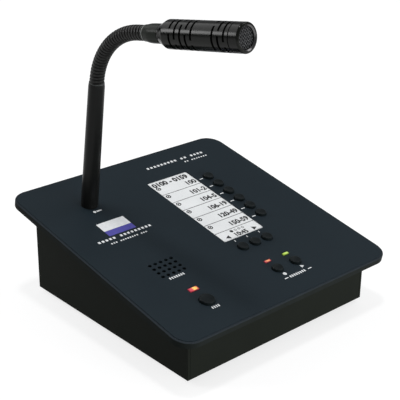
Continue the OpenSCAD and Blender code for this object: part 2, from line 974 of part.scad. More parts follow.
module board_components() {
    color([0.12, 0.12, 0.13]) {
        box_uvn(-chip_left - chip_w / 2, -chip_left + chip_w / 2,
            main_front + chip_in, main_front + chip_in + chip_w, main_top, main_top + chip_h);
        box_uvn(-power_left - power_w / 2, -power_left + power_w / 2,
            main_back - power_in - power_d, main_back - power_in, main_top, main_top + power_h);
        for (i = [0:2])
            post([can_side + i * can_pitch - main_w / 2, main_front + can_in], can_d,
                main_top, main_top + can_h);
    }
}

// Where a straight lead along the panel's normal meets a level on the main board
function drop_y(v, n, z) = world(0, v, n)[1] + (world(0, v, n)[2] - z) * tan(tilt);

module board_headers() {
    ribbon_y = drop_y(ribbon_v, ribbon_n, header_top);
    lead_y = drop_y(neck_v, ferrule_n, lead_top);
    color([0.05, 0.05, 0.05]) {
        on_panel()
            box_uvn(ribbon_u - ribbon_w / 2 - 1, ribbon_u + ribbon_w / 2 + 1,
                ribbon_v - header_d / 2, ribbon_v + header_d / 2, ribbon_n, ribbon_n + header_h);
        box_uvn(ribbon_u - ribbon_w / 2 - 1, ribbon_u + ribbon_w / 2 + 1,
            ribbon_y - header_d / 2, ribbon_y + header_d / 2, main_top, header_top);
        box_uvn(column_u - lead_header_w / 2, column_u + lead_header_w / 2,
            lead_y - lead_header_w / 2, lead_y + lead_header_w / 2, main_top, lead_top);
    }
}

module ribbon_cable() {
    color([0.55, 0.56, 0.58])
        intersection() {
            on_panel()
                box_uvn(ribbon_u - ribbon_w / 2, ribbon_u + ribbon_w / 2,
                    ribbon_v - ribbon_t / 2, ribbon_v + ribbon_t / 2, -big, ribbon_n);
            box_uvn(-big / 2, big / 2, -big / 2, big / 2, header_top, big);
        }
}

// Microphone lead down to the main board, speaker pair and talk pair to the control board
module inner_leads() {
    pair = 0.8;
    pair_w = 4;
    start = column_u + magnet_d / 2 + 2.3;
    land = control_left + 4;
    color([0.2, 0.2, 0.2]) {
        intersection() {
            on_panel()
                post([column_u, neck_v], lead_d, -big, ferrule_n);
            box_uvn(-big / 2, big / 2, -big / 2, big / 2, lead_top, big);
        }
        on_panel()
            translate([0, speaker_v + pair_w / 2, 0])
                rotate([90, 0, 0])
                    linear_extrude(pair_w)
                        polygon([
                            [start - 2, basket_n], [start, basket_n], [control_left, board_n + pair],
                            [land, board_n + pair], [land, board_n], [control_left - 0.5, board_n],
                            [start - 0.2, basket_n - pair], [start - 2, basket_n - pair]]);
        on_panel()
            box_uvn(column_u + talk_board_w / 2 - 4, control_left + 4, talk_v - pair_w / 2, talk_v + pair_w / 2,
                board_n - board_t - pair, board_n - board_t);
    }
}

module neck_ferrule() {
    color([0.7, 0.7, 0.68])
        on_panel()
            difference() {
                union() {
                    post([column_u, neck_v], thread_d, ferrule_n, -overlay_t);
                    post([column_u, neck_v], spigot_d, ferrule_n, spigot_l);
                }
                post([column_u, neck_v], flex_bore, ferrule_n - bit, spigot_l + bit);
            }
}

module neck_washer() {
    color([0.72, 0.72, 0.74])
        on_panel()
            difference() {
                post([column_u, neck_v], washer_d, -stack - washer_t, -stack);
                post([column_u, neck_v], thread_d + 2 * thread_gap, -stack - washer_t - bit, -stack + bit);
            }
}

module neck_nut() {
    low = -stack - washer_t - neck_nut_h;
    color([0.72, 0.72, 0.74])
        on_panel()
            difference() {
                translate([column_u, neck_v, low])
                    cylinder(d = neck_nut_d, h = neck_nut_h, $fn = 6);
                post([column_u, neck_v], thread_d + 0.1, low - bit, -stack);
            }
}

// Stiff tapered sleeve, cut flat on the panel, with a socket for the flexible tube at its top
module neck_sleeve() {
    socket_r = flex_d / 2 + socket_gap;
    color([0.06, 0.06, 0.065])
        difference() {
            on_neck()
                rotate_extrude()
                    polygon([
                        [flex_bore / 2, -2], [sleeve_base_d / 2, -2], [sleeve_base_d / 2, 0],
                        [sleeve_top_d / 2, sleeve_l - sleeve_ease_l],
                        [sleeve_top_d / 2 - sleeve_ease, sleeve_l], [socket_r, sleeve_l],
                        [socket_r, flex_start], [flex_bore / 2, flex_start]]);
            on_panel() {
                translate([column_u, neck_v, -big / 2])
                    cube(big, center = true);
                post([column_u, neck_v], spigot_d + 2 * spigot_gap, -bit, spigot_l + 0.2);
            }
        }
}

// A length of the flexible tube: ribbed outside, smooth bore, closed by flat ring ends
module flex_tube(from, to) {
    rings = ceil((to - from) / rib_pitch * 4);
    bores = ceil((to - from) / 2.5);
    turns = [for (j = [0:sides - 1]) 360 * j / sides];
    outer = [
        for (i = [0:rings], t = turns)
            let (s = from + (to - from) * i / rings)
                ring_point(s, t, flex_d / 2 + rib(s, t))];
    inner = [
        for (i = [0:bores], t = turns)
            ring_point(from + (to - from) * i / bores, t, flex_bore / 2)];
    base = len(outer);
    last = rings * sides;
    deep = base + bores * sides;
    skin = [
        for (i = [0:rings - 1], j = [0:sides - 1])
            let (a = i * sides + j, b = i * sides + (j + 1) % sides)
                each [[a, b + sides, b], [a, a + sides, b + sides]]];
    lining = [
        for (i = [0:bores - 1], j = [0:sides - 1])
            let (a = base + i * sides + j, b = base + i * sides + (j + 1) % sides)
                each [[a, b, b + sides], [a, b + sides, a + sides]]];
    ends = [
        for (j = [0:sides - 1])
            let (k = (j + 1) % sides)
                each [
                    [j, k, base + k], [j, base + k, base + j],
                    [last + j, deep + k, last + k], [last + j, deep + j, deep + k]]];
    polyhedron(points = concat(outer, inner), faces = concat(skin, lining, ends), convexity = 8);
}

module neck_flex_lower() {
    color([0.09, 0.09, 0.095])
        on_neck()
            flex_tube(0, flex_mid);
}

module neck_flex_upper() {
    color([0.09, 0.09, 0.095])
        on_neck()
            flex_tube(flex_mid, flex_l);
}

// Radius of the coupling part of the way from its rear end to its full diameter
function swell(part) = (coupling_end_d + (coupling_d - coupling_end_d) * part) / 2;

// Coupling with the tube's socket behind and a spigot into the microphone in front
module neck_coupling() {
    socket_r = flex_d / 2 + socket_gap;
    color([0.14, 0.15, 0.14])
        on_head()
            rotate_extrude()
                polygon([
                    [socket_r, 0], [coupling_end_d / 2 - 0.06, 0], [coupling_end_d / 2, 0.15],
                    [coupling_end_d / 2, 0.9], [swell(0.52), 2.7], [swell(0.84), 4], [swell(0.96), 5.4],
                    [coupling_d / 2, 6.7], [coupling_d / 2, coupling_l - 0.3],
                    [coupling_d / 2 - 0.3, coupling_l],
                    [tail_d / 2, coupling_l], [tail_d / 2, coupling_l + spigot_in],
                    [flex_bore / 2, coupling_l + spigot_in], [flex_bore / 2, coupling_socket],
                    [socket_r, coupling_socket]]);
}

// One ring of three slots around the microphone body
module slot_ring(z, turn) {
    for (k = [0:2])
        rotate([0, 0, turn + 120 * k - slot_angle / 2])
            rotate_extrude(angle = slot_angle)
                translate([mic_bore / 2 - 0.5, z - slot_w / 2])
                    square([mic_wall + 1, slot_w]);
}

module mic_body() {
    shoulder = coupling_l + cone_l;
    rear_r = coupling_d / 2;
    color([0.07, 0.07, 0.075])
        on_head()
            difference() {
                rotate_extrude()
                    polygon([
                        [tail_d / 2 + spigot_gap, coupling_l], [rear_r, coupling_l],
                        [rear_r, coupling_l + cone_step], [mic_d / 2 - cone_round, shoulder - 5 * cone_round],
                        [mic_d / 2, shoulder - cone_round], [mic_d / 2, body_front],
                        [mic_bore / 2, body_front], [mic_bore / 2, shoulder + 2],
                        [tail_d / 2 + spigot_gap, shoulder + 2]]);
                for (i = [0:4])
                    slot_ring(rear_slots[i], slot_turn + slot_step * i);
                for (i = [0:2])
                    slot_ring(front_slots[i], slot_turn + slot_step * (i + 2));
                rotate_extrude()
                    translate([mic_d / 2 - groove_depth, groove_z - groove_w / 2])
                        square([groove_depth + bit, groove_w]);
                translate([0, 0, grub_z])
                    rotate([0, 90, grub_turn])
                        cylinder(d = grub_d + 0.1, h = mic_d);
            }
}

module mic_front_ring() {
    top = body_front + ring_h;
    color([0.07, 0.07, 0.075])
        on_head()
            rotate_extrude()
                difference() {
                    union() {
                        translate([mic_hole / 2, body_front])
                            square([mic_d / 2 - mic_hole / 2, ring_h - ring_edge]);
                        translate([mic_hole / 2, body_front])
                            square([mic_d / 2 - ring_edge - mic_hole / 2, ring_h]);
                        translate([mic_d / 2 - ring_edge, top - ring_edge])
                            circle(ring_edge);
                        translate([mic_hole / 2, body_front - ring_tail])
                            square([mic_bore / 2 - spigot_gap - mic_hole / 2, ring_tail + bit]);
                    }
                    translate([mic_hole / 2, top])
                        rotate(45)
                            square(ring_bevel * sqrt(2), center = true);
                    translate([0, body_front - ring_tail - bit])
                        square([mic_hole / 2 + mesh_lip, mesh_z + mesh_t - body_front + ring_tail + bit]);
                }
}

module mic_mesh() {
    count = floor(mic_hole / 2 / mesh_pitch);
    color([0.3, 0.3, 0.3])
        on_head()
            translate([0, 0, mesh_z])
                linear_extrude(mesh_t)
                    difference() {
                        circle(mic_hole / 2 + mesh_lip - spigot_gap);
                        for (i = [-count:count], j = [-count:count])
                            if (norm([i, j]) * mesh_pitch < mic_hole / 2 - 0.4)
                                translate([i * mesh_pitch, j * mesh_pitch])
                                    square(mesh_gap, center = true);
                    }
}

module mic_capsule() {
    color([0.75, 0.75, 0.74])
        on_head()
            translate([0, 0, body_front - ring_tail - capsule_step - capsule_h])
                cylinder(d = capsule_d, h = capsule_h);
}

module capsule_holder() {
    color([0.1, 0.1, 0.1])
        on_head()
            difference() {
                translate([0, 0, body_front - holder_l - ring_tail])
                    cylinder(d = mic_bore - 2 * spigot_gap, h = holder_l);
                translate([0, 0, body_front - holder_l - ring_tail - bit])
                    cylinder(d = capsule_d, h = holder_l + 2 * bit);
            }
}

module mic_grub_screw() {
    color([0.2, 0.2, 0.2])
        on_head()
            translate([0, 0, grub_z])
                rotate([0, 90, grub_turn])
                    difference() {
                        translate([0, 0, tail_d / 2])
                            cylinder(d = grub_d, h = 1.3);
                        translate([0, 0, tail_d / 2 + 0.6])
                            cylinder(d = 1, h = 1, $fn = 6);
                    }
}

top_panel();
panel_overlay();
panel_studs();
panel_nuts();
left_wall();
right_wall();
front_wall();
back_wall();
corner_brackets();
bottom_cover();
cover_screws();
feet();
display_window();
display_panel();
display_board();
display_retainer();
control_board();
talk_board();
board_pillars();
board_screws();
key_switches();
zone_key_1();
zone_key_2();
zone_key_3();
zone_key_4();
zone_key_5();
zone_key_6();
menu_key_left();
menu_key_middle();
menu_key_right();
record_key();
play_key();
talk_key_cap();
talk_led();
record_led();
play_led();
speaker_gasket();
speaker_frame();
speaker_cone();
speaker_magnet();
main_board();
network_socket();
board_components();
board_headers();
ribbon_cable();
inner_leads();
neck_ferrule();
neck_washer();
neck_nut();
neck_sleeve();
neck_flex_lower();
neck_flex_upper();
neck_coupling();
mic_body();
mic_front_ring();
mic_mesh();
mic_capsule();
capsule_holder();
mic_grub_screw();
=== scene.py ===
# %% [markdown]
# # A desk paging console
# The console is a sloped panel on a sheet metal case, with a paper-like display, twelve keys, three
# lights, a loudspeaker behind a drilled grille and a gooseneck microphone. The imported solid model
# gives every size. This lesson dresses it: finishes, printed marks, the wound neck and small parts.

# %% Load the frame
import json
import math

import bpy
import numpy as np
from mathutils import Matrix, Vector


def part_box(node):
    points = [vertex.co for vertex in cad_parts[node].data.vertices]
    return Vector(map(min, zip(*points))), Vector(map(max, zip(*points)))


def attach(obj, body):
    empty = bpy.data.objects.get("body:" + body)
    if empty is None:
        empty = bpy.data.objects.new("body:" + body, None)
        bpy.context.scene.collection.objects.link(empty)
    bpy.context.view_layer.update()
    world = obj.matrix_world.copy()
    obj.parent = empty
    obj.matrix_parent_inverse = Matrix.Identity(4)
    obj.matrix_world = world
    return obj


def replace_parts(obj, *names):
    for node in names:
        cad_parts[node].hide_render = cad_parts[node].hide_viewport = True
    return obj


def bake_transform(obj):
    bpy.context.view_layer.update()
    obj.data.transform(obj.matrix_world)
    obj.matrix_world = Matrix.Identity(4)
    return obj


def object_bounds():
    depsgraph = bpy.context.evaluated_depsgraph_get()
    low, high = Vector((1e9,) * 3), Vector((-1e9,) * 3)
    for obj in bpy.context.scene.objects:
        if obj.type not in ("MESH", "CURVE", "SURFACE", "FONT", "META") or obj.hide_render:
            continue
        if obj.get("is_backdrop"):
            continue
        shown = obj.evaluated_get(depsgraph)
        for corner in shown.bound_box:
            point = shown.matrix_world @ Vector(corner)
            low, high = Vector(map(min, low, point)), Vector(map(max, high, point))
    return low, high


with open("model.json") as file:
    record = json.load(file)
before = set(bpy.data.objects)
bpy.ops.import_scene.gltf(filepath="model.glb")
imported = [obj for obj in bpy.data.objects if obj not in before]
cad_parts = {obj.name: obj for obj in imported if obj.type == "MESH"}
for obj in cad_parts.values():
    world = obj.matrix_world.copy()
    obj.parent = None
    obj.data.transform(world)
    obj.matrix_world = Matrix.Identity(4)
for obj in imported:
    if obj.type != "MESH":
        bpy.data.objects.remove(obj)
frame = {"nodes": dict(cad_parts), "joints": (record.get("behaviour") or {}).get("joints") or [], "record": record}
nodes = frame["nodes"]
joints = {joint["name"]: joint for joint in frame["joints"]}
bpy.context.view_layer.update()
mm = 0.001

# %% [markdown]
# Everything on the face is easiest to place in the panel's own directions: u across, v up the slope
# from the front edge, n out of the face. A turned empty could hold them, but plain arrays can be used in
# every formula. A key moves straight into the panel, so the axis of its joint is the panel's normal. The
# plate's points give the front edge, and those of the sheet on it give the level of the face.

# %% The panel's directions
def mesh_points(mesh):
    """All points of a mesh, one row each."""
    flat = np.empty(len(mesh.vertices) * 3, np.float32)
    mesh.vertices.foreach_get("co", flat)
    return flat.reshape(-1, 3).astype(float)


def points_of(node):
    """All points of a CAD node, one row each, in metres."""
    return mesh_points(nodes[node].data)


normal = -np.array(joints["zone_key_1_press"]["axis"], float)
normal /= np.linalg.norm(normal)
across = np.array([1.0, 0.0, 0.0])
slope = np.cross(normal, across)
front_edge = (points_of("top_panel") @ slope).min()
face_level = (points_of("panel_overlay") @ normal).max()


def on_panel(u, v, n):
    """Panel millimetres to metres: the sum of u steps across, v steps up the slope and n steps out."""
    u, v, n = (np.asarray(x, float)[..., None] * mm for x in np.broadcast_arrays(u, v, n))
    return u * across + (v + front_edge) * slope + (n + face_level) * normal


def middle_of(node):
    """Middle of a CAD node in panel millimetres u and v."""
    points = points_of(node)
    u, v = points @ across, points @ slope - front_edge
    return np.array([(u.min() + u.max()) / 2, (v.min() + v.max()) / 2]) / mm


slope_angle = math.degrees(math.asin(slope[2]))
print("panel slope", round(slope_angle, 2), "degrees, neck at", middle_of("neck_washer"))

# %% [markdown]
# The camera comes first, because every later choice is judged through it. It could be turned by hand
# until the view looks right, but its place and lens were worked out from the panel's four edges, so the
# render lies over the photograph. A small roll turns its right and up directions about the line of sight.

# %% Camera
eye = Vector((-0.347306, -0.383678, 0.285748))
aim = Vector((-0.001455, -0.001783, 0.059768))
roll = math.radians(0.664)
sight = (aim - eye).normalized()
level = sight.cross(Vector((0, 0, 1))).normalized()
upright = level.cross(sight)
right_hand = level * math.cos(roll) + upright * math.sin(roll)
top_side = upright * math.cos(roll) - level * math.sin(roll)
camera = bpy.data.objects.new("camera", bpy.data.cameras.new("camera"))
camera.data.lens, camera.data.sensor_width = 94.03, 36.0
camera.data.clip_start, camera.data.clip_end = 0.01, 20.0
camera_turn = Matrix((right_hand, top_side, -sight)).transposed().to_4x4()
camera.matrix_world = Matrix.Translation(eye) @ camera_turn
bpy.context.scene.collection.objects.link(camera)
bpy.context.scene.camera = camera
bpy.context.scene.view_settings.view_transform = "Standard"
print("camera", round((aim - eye).length, 4), "m from its aim")

# %% [markdown]
# Materials are made of nodes, and the same few lines add and join them everywhere. Helpers that add a
# node, set its fields and fill its inputs keep each finish readable.

# %% Node helpers
def fill(tree, node, inputs):
    """Each named input of a node gets a value, or a link from another node's socket."""
    for key, value in dict(inputs).items():
        if isinstance(value, bpy.types.NodeSocket):
            tree.links.new(value, node.inputs[key])
        else:
            node.inputs[key].default_value = value


def add(tree, kind, inputs=(), **fields):
    """A new node in a tree: its fields are set first, then its inputs are filled."""
    made = tree.nodes.new(kind)
    for name, value in fields.items():
        setattr(made, name, value)
    fill(tree, made, inputs)
    return made


def worked(tree, operation, *values):
    """Result of a Math node: an operation on values or sockets, in their order."""
    return add(tree, "ShaderNodeMath", dict(enumerate(values)), operation=operation).outputs[0]


def new_group(name, inputs):
    """A shader node group with named inputs and one output, a mask, and its two end nodes' sockets."""
    tree = bpy.data.node_groups.new(name, "ShaderNodeTree")
    for label, kind, value in inputs:
        tree.interface.new_socket(label, in_out="INPUT", socket_type=kind).default_value = value
    tree.interface.new_socket("Mask", in_out="OUTPUT", socket_type="NodeSocketFloat")
    return tree, tree.nodes.new("NodeGroupInput").outputs, tree.nodes.new("NodeGroupOutput").inputs


def new_material(name):
    """A material with one Principled shader, and its tree."""
    made = bpy.data.materials.new(name)
    made.use_nodes = True
    tree = made.node_tree
    return made, tree, tree.nodes["Principled BSDF"]


print("helpers ready")

# %% [markdown]
# Two effects are shared by most finishes. Speckle is soft noise of a given grain size, for paint
# texture, moulded plastic and patchy gloss. Turned lines are fine grooves square to an axis, as a
# lathe leaves them. Both could be painted pictures, but noise that is worked out from the place has no
# seams and stays sharp close up. Each is a group, so that every material can give it values of its own.

# %% Shared effects
def make_speckle():
    """Noise of about Size millimetres in object coordinates, stretched by Contrast about one half."""
    inputs = [("Size", "NodeSocketFloat", 1.0), ("Contrast", "NodeSocketFloat", 1.0)]
    tree, given, result = new_group("speckle", inputs)
    place = add(tree, "ShaderNodeTexCoord").outputs["Object"]
    rate = worked(tree, "DIVIDE", 1 / mm, given["Size"])
    noise = add(tree, "ShaderNodeTexNoise",
                {"Vector": place, "Scale": rate, "Detail": 3.0, "Roughness": 0.55})
    apart = worked(tree, "SUBTRACT", noise.outputs["Fac"], 0.5)
    stretch = {0: apart, 1: given["Contrast"], 2: 0.5}
    wide = add(tree, "ShaderNodeMath", stretch, operation="MULTIPLY_ADD", use_clamp=True)
    tree.links.new(wide.outputs[0], result["Mask"])
    return tree


def make_turned():
    """Noise along one direction only: the place along Axis, counted in steps of Pitch millimetres."""
    inputs = [("Axis", "NodeSocketVector", (0, 0, 1)), ("Pitch", "NodeSocketFloat", 0.2)]
    tree, given, result = new_group("turned_lines", inputs)
    place = add(tree, "ShaderNodeTexCoord").outputs["Object"]
    along = add(tree, "ShaderNodeVectorMath", {0: place, 1: given["Axis"]}, operation="DOT_PRODUCT")
    rate = worked(tree, "DIVIDE", 1 / mm, given["Pitch"])
    steps = worked(tree, "MULTIPLY", along.outputs["Value"], rate)
    lines = {"W": steps, "Scale": 1.0, "Detail": 2.0}
    noise = add(tree, "ShaderNodeTexNoise", lines, noise_dimensions="1D")
    tree.links.new(noise.outputs["Fac"], result["Mask"])
    return tree


speckle, turned_lines = make_speckle(), make_turned()
print("groups", [group.name for group in bpy.data.node_groups])

# %% [markdown]
# A finish is steered by masks, numbers from 0 to 1 at every place. Small helpers turn a mask into a colour
# between two shades, a value between two ends or a bump, and measure how far a place lies along a direction.
# The nodes could be written out in every material, but with helpers each finish takes a few lines.

# %% Finish helpers
def mixed(tree, mask, dark, light):
    """Colour between two colours by a mask; each is a shade or another node's colour."""
    blend = add(tree, "ShaderNodeMix", {"Factor": mask}, data_type="RGBA")
    for end, value in zip((s for s in blend.inputs if s.type == "RGBA"), (dark, light)):
        if isinstance(value, bpy.types.NodeSocket):
            tree.links.new(value, end)
        else:
            end.default_value = (*value, 1)
    return next(s for s in blend.outputs if s.type == "RGBA")


def ranged(tree, mask, low, high):
    """A mask from 0 to 1 mapped onto low to high."""
    ends = {"Value": mask, "To Min": low, "To Max": high}
    return add(tree, "ShaderNodeMapRange", ends).outputs["Result"]


def share(tree, axis, start, stop):
    """How far a place lies from start (0) to stop (1), both in metres along a direction."""
    place = add(tree, "ShaderNodeTexCoord").outputs["Object"]
    along = add(tree, "ShaderNodeVectorMath", {0: place, 1: tuple(axis)}, operation="DOT_PRODUCT")
    ends = {"Value": along.outputs["Value"], "From Min": start, "From Max": stop}
    return add(tree, "ShaderNodeMapRange", ends).outputs["Result"]


def placed(tree, group, values):
    """Mask of a shared group that is placed in a material with values of its own."""
    return add(tree, "ShaderNodeGroup", values, node_tree=group).outputs["Mask"]


def lifted(tree, shader, height, lift, strength):
    """Bump on a shader: a height mask from 0 to 1 stands for up to lift millimetres."""
    bump = add(tree, "ShaderNodeBump", {"Strength": strength, "Distance": lift * mm, "Height": height})
    tree.links.new(bump.outputs["Normal"], shader.inputs["Normal"])


print("masks so far:", speckle.name, turned_lines.name)

# %% [markdown]
# Most surfaces of the console are a dark coat over metal or plastic. They differ in colour, gloss and
# grain. Each could have nodes of its own, but one builder keeps them alike and easy to compare: a patchy
# colour between two near shades, a roughness that wanders a little, and a grain that lifts the surface by
# a few hundredths of a millimetre at most.

# %% Coated finishes
patch_contrast, grain_contrast, patch_weight = 1.8, 1.4, 0.6


def coat(name, dark, light, rough, lift, patch, grain=None, axis=None, pitch=None,
         metallic=0.0, specular=0.5, rim=None):
    """Coated surface: colour dark to light and roughness low to high over patches of a size in millimetres,
    with a grain, or lines turned round an axis, as bump. A rim (start, stop, shade) goes over to a lighter
    shade between two places along the axis, a painted highlight along an edge."""
    made, tree, shader = new_material(name)
    patches = placed(tree, speckle, {"Size": patch, "Contrast": patch_contrast})
    if axis is None:
        fine = placed(tree, speckle, {"Size": grain, "Contrast": grain_contrast})
    else:
        fine = placed(tree, turned_lines, {"Axis": tuple(axis), "Pitch": pitch})
    colour = mixed(tree, patches, dark, light)
    if rim is not None:
        start, stop, shade = rim
        colour = mixed(tree, share(tree, axis, start, stop), colour, shade)
    both = worked(tree, "MULTIPLY_ADD", patches, patch_weight, fine)
    fill(tree, shader, {"Base Color": colour, "Roughness": ranged(tree, both, *rough),
                        "Metallic": metallic, "Specular IOR Level": specular})
    lifted(tree, shader, fine, lift, strength=0.6)
    return made


panel_sheet = coat("panel_sheet", (0.0082, 0.0148, 0.0202), (0.0102, 0.0178, 0.0236), (0.42, 0.56),
                   lift=0.012, patch=45, grain=0.35, specular=0.16)
case_paint = coat("case_paint", (0.0095, 0.0112, 0.0092), (0.0122, 0.0142, 0.0116), (0.38, 0.55),
                  lift=0.03, patch=30, grain=0.7, specular=0.02)
key_plastic = coat("key_plastic", (0.0048, 0.0072, 0.008), (0.0076, 0.0106, 0.0116), (0.3, 0.42),
                   lift=0.008, patch=4, grain=0.25, specular=0.12)
foot_rubber = coat("foot_rubber", (0.012, 0.012, 0.012), (0.022, 0.022, 0.021), (0.7, 0.9),
                   lift=0.03, patch=6, grain=0.5, specular=0.3)
zinc_steel = coat("zinc_steel", (0.48, 0.48, 0.49), (0.62, 0.62, 0.63), (0.28, 0.45),
                  lift=0.01, patch=6, grain=0.4, metallic=1.0)
black_moulding = coat("black_moulding", (0.018, 0.018, 0.018), (0.03, 0.03, 0.03), (0.4, 0.6),
                      lift=0.015, patch=8, grain=0.4)
turned_brass = coat("turned_brass", (0.6, 0.44, 0.18), (0.7, 0.53, 0.25), (0.22, 0.36),
                    lift=0.006, patch=5, grain=0.3, metallic=1.0)
pulp_cone = coat("pulp_cone", (0.012, 0.012, 0.013), (0.022, 0.022, 0.023), (0.75, 0.95),
                 lift=0.06, patch=5, grain=0.8, specular=0.2)
capsule_can = coat("capsule_can", (0.5, 0.5, 0.49), (0.62, 0.62, 0.6), (0.25, 0.4),
                   lift=0.006, patch=5, grain=0.3, metallic=1.0)
print("coats", len(bpy.data.materials))

# %% [markdown]
# The plate is thick sheet, painted all over. Its thin top border is given a lighter blue grey as a painted
# highlight, the bright line that light draws along the plate's top edge, and the cut edges below it a darker
# grey. The edge faces could get a second material, but the mesh of a solid is left alone, so one material
# tells the two apart by the level of a place along the panel's normal.

# %% Plate finish
cut_from, cut_to = 0.05, 0.35


def make_plate_paint():
    """Lighter blue grey top, a painted highlight along the edge, and darker, greyer cut edges: the mix follows the
    depth below the plate's top face.
    """
    made, tree, shader = new_material("plate_paint")
    top = (points_of("top_panel") @ normal).max()
    edge = share(tree, normal, top - cut_from * mm, top - cut_to * mm)
    patches = placed(tree, speckle, {"Size": 6.0, "Contrast": patch_contrast})
    # painted highlight: the lighter top colour stands for the bright line along the plate's top edge
    edge_highlight_colour = mixed(tree, patches, (0.024, 0.03, 0.0355), (0.029, 0.0355, 0.041))
    edge_colour = mixed(tree, patches, (0.0108, 0.0132, 0.0124), (0.0138, 0.0166, 0.0156))
    fine = placed(tree, speckle, {"Size": 0.5, "Contrast": grain_contrast})
    fill(tree, shader, {"Base Color": mixed(tree, edge, edge_highlight_colour, edge_colour),
                        "Roughness": ranged(tree, fine, 0.3, 0.45), "Specular IOR Level": 0.01})
    lifted(tree, shader, fine, lift=0.01, strength=0.5)
    return made


plate_paint = make_plate_paint()
print("plate paint follows the normal", normal.round(3))

# %% [markdown]
# The neck's line is one plane curve: straight up out of the panel with a slight lean, an arc, and a
# short straight run into the coupling. A curve with handles could follow it, but straight runs and an
# arc are exact and give the turn at every length. The measures below are those of the solid model, and
# the finished skin is compared with the solid's box to show that they agree.

# %% The line of the neck
column, neck_place = middle_of("neck_washer")
lean, turn, bend = math.radians(2.9), math.radians(6.0), math.radians(73.6)
sleeve_length, socket, bend_radius = 73.0, 7.0, 36.9
lead_in, lead_out, coupling_socket = 7.4, 9.2, 3.3
tube_radius, bore_radius, rib_pitch, rib_depth = 3.9, 2.0, 1.9, 0.5
arc_length = bend_radius * bend
tube_length, tube_middle = lead_in + arc_length + lead_out, lead_in + arc_length / 2
tilt_back = np.array(Matrix.Rotation(-lean, 3, "X") @ Matrix.Rotation(turn, 3, "Z"))
neck_axes = np.stack([across, slope, normal], axis=1) @ tilt_back
neck_foot = on_panel(column, neck_place, 0.0)


def neck_line(s):
    """Centre and turn of the tube at length s: straight to lead_in, then an arc, then straight on."""
    s = np.asarray(s, float)
    angle = np.clip((s - lead_in) / bend_radius, 0, bend)
    extra = np.maximum(s - lead_in - arc_length, 0)
    back = -bend_radius * (1 - np.cos(angle)) - extra * np.sin(angle)
    start = sleeve_length - socket
    rise = start + np.minimum(s, lead_in) + bend_radius * np.sin(angle) + extra * np.cos(angle)
    return np.stack([np.zeros_like(s), back, rise], -1), angle


def in_neck(local):
    """Neck millimetres to metres in the model's frame."""
    return np.asarray(local) @ neck_axes.T * mm + neck_foot


head_axes = neck_axes @ np.array(Matrix.Rotation(bend, 3, "X"))
head_foot = in_neck(neck_line(tube_length - coupling_socket)[0])


def in_head(local):
    """Microphone millimetres, z along it from the coupling's rear face, to metres in the model's frame."""
    return np.asarray(local) @ head_axes.T * mm + head_foot


neck_axis, head_axis = neck_axes[:, 2], head_axes[:, 2]
print("microphone points along", head_axis.round(3), "from", head_foot.round(4))

# %% [markdown]
# The neck and the microphone are turned metal, so their finishes carry fine lines round their axis:
# a satin black sleeve, a grey green coupling, and a glossier black body. A thin light line on the sleeve's
# top edge and the coupling's rear edge is a painted highlight, where these edges catch the light; it fades
# over a fifth of a millimetre. All this could be painted on an unwrapped surface, but measured along the
# axis it needs no unwrapping and meets the edges exactly. The screw, the wire, the cloth and the near-black
# felt, which stands for the shade in the bore, are plain coats.

# %% Neck and microphone finishes
fade, sleeve_highlight_line, coupling_highlight_line = 0.2, 0.2, 0.3
sleeve_top = (points_of("neck_sleeve") @ neck_axis).max()
coupling_end = (points_of("neck_coupling") @ head_axis).min()
# painted highlights: light lines on the sleeve's top edge and the coupling's rear edge
sleeve_rim_highlight = (sleeve_top - (sleeve_highlight_line + fade) * mm, sleeve_top - sleeve_highlight_line * mm, (0.07, 0.075, 0.074))
coupling_rim_highlight = (coupling_end + (coupling_highlight_line + fade) * mm, coupling_end + coupling_highlight_line * mm,
                (0.36, 0.375, 0.36))
sleeve_black = coat("sleeve_black", (0.004, 0.0044, 0.0044), (0.007, 0.0074, 0.007), (0.24, 0.34),
                    lift=0.003, patch=18, axis=neck_axis, pitch=0.25, specular=0.12, rim=sleeve_rim_highlight)
coupling_grey = coat("coupling_grey", (0.0095, 0.0122, 0.0092), (0.014, 0.0172, 0.0134), (0.26, 0.36),
                     lift=0.004, patch=6, axis=head_axis, pitch=0.2, specular=0.1, rim=coupling_rim_highlight)
microphone_black = coat("microphone_black", (0.003, 0.0034, 0.0028), (0.006, 0.0066, 0.005), (0.14, 0.22),
                        lift=0.003, patch=14, axis=head_axis, pitch=0.16, specular=0.16)
black_screw = coat("black_screw", (0.02, 0.02, 0.02), (0.035, 0.035, 0.035), (0.25, 0.4),
                   lift=0.006, patch=2, grain=0.3, metallic=0.6)
weave_wire = coat("weave_wire", (0.1, 0.102, 0.106), (0.16, 0.163, 0.168), (0.3, 0.45),
                  lift=0.004, patch=1.5, grain=0.2, metallic=0.7)
dark_cloth = coat("dark_cloth", (0.02, 0.0204, 0.0212), (0.03, 0.0305, 0.0318), (0.85, 0.98),
                  lift=0.03, patch=1.0, grain=0.15, specular=0.2)
# painted shade: near-black felt that stands for the shade inside the microphone's bore
shade_lining_felt = coat("shade_lining_felt", (0.003, 0.003, 0.003), (0.006, 0.006, 0.006), (0.85, 0.98),
                   lift=0.04, patch=2.0, grain=0.3, specular=0.1)
print("neck and microphone coats, materials so far", len(bpy.data.materials))

# %% [markdown]
# Two parts of the neck change their finish from place to place. The wound tube is paler on the crests of
# its ribs, a painted highlight, and near black in the grooves between them, painted shade. A shader could
# work out the groove again, but the mesh already knows it and carries a crest mask. The microphone's front
# ring is black like the body, but the small bevel round its hole is bare metal. As its mesh is left alone
# too, the depth behind its front face and the distance from the axis find the bevel.

# %% Wound tube and ring finishes
bevel_from, bevel_to, bevel_inner, bevel_outer = 0.02, 0.08, 5.85, 5.95


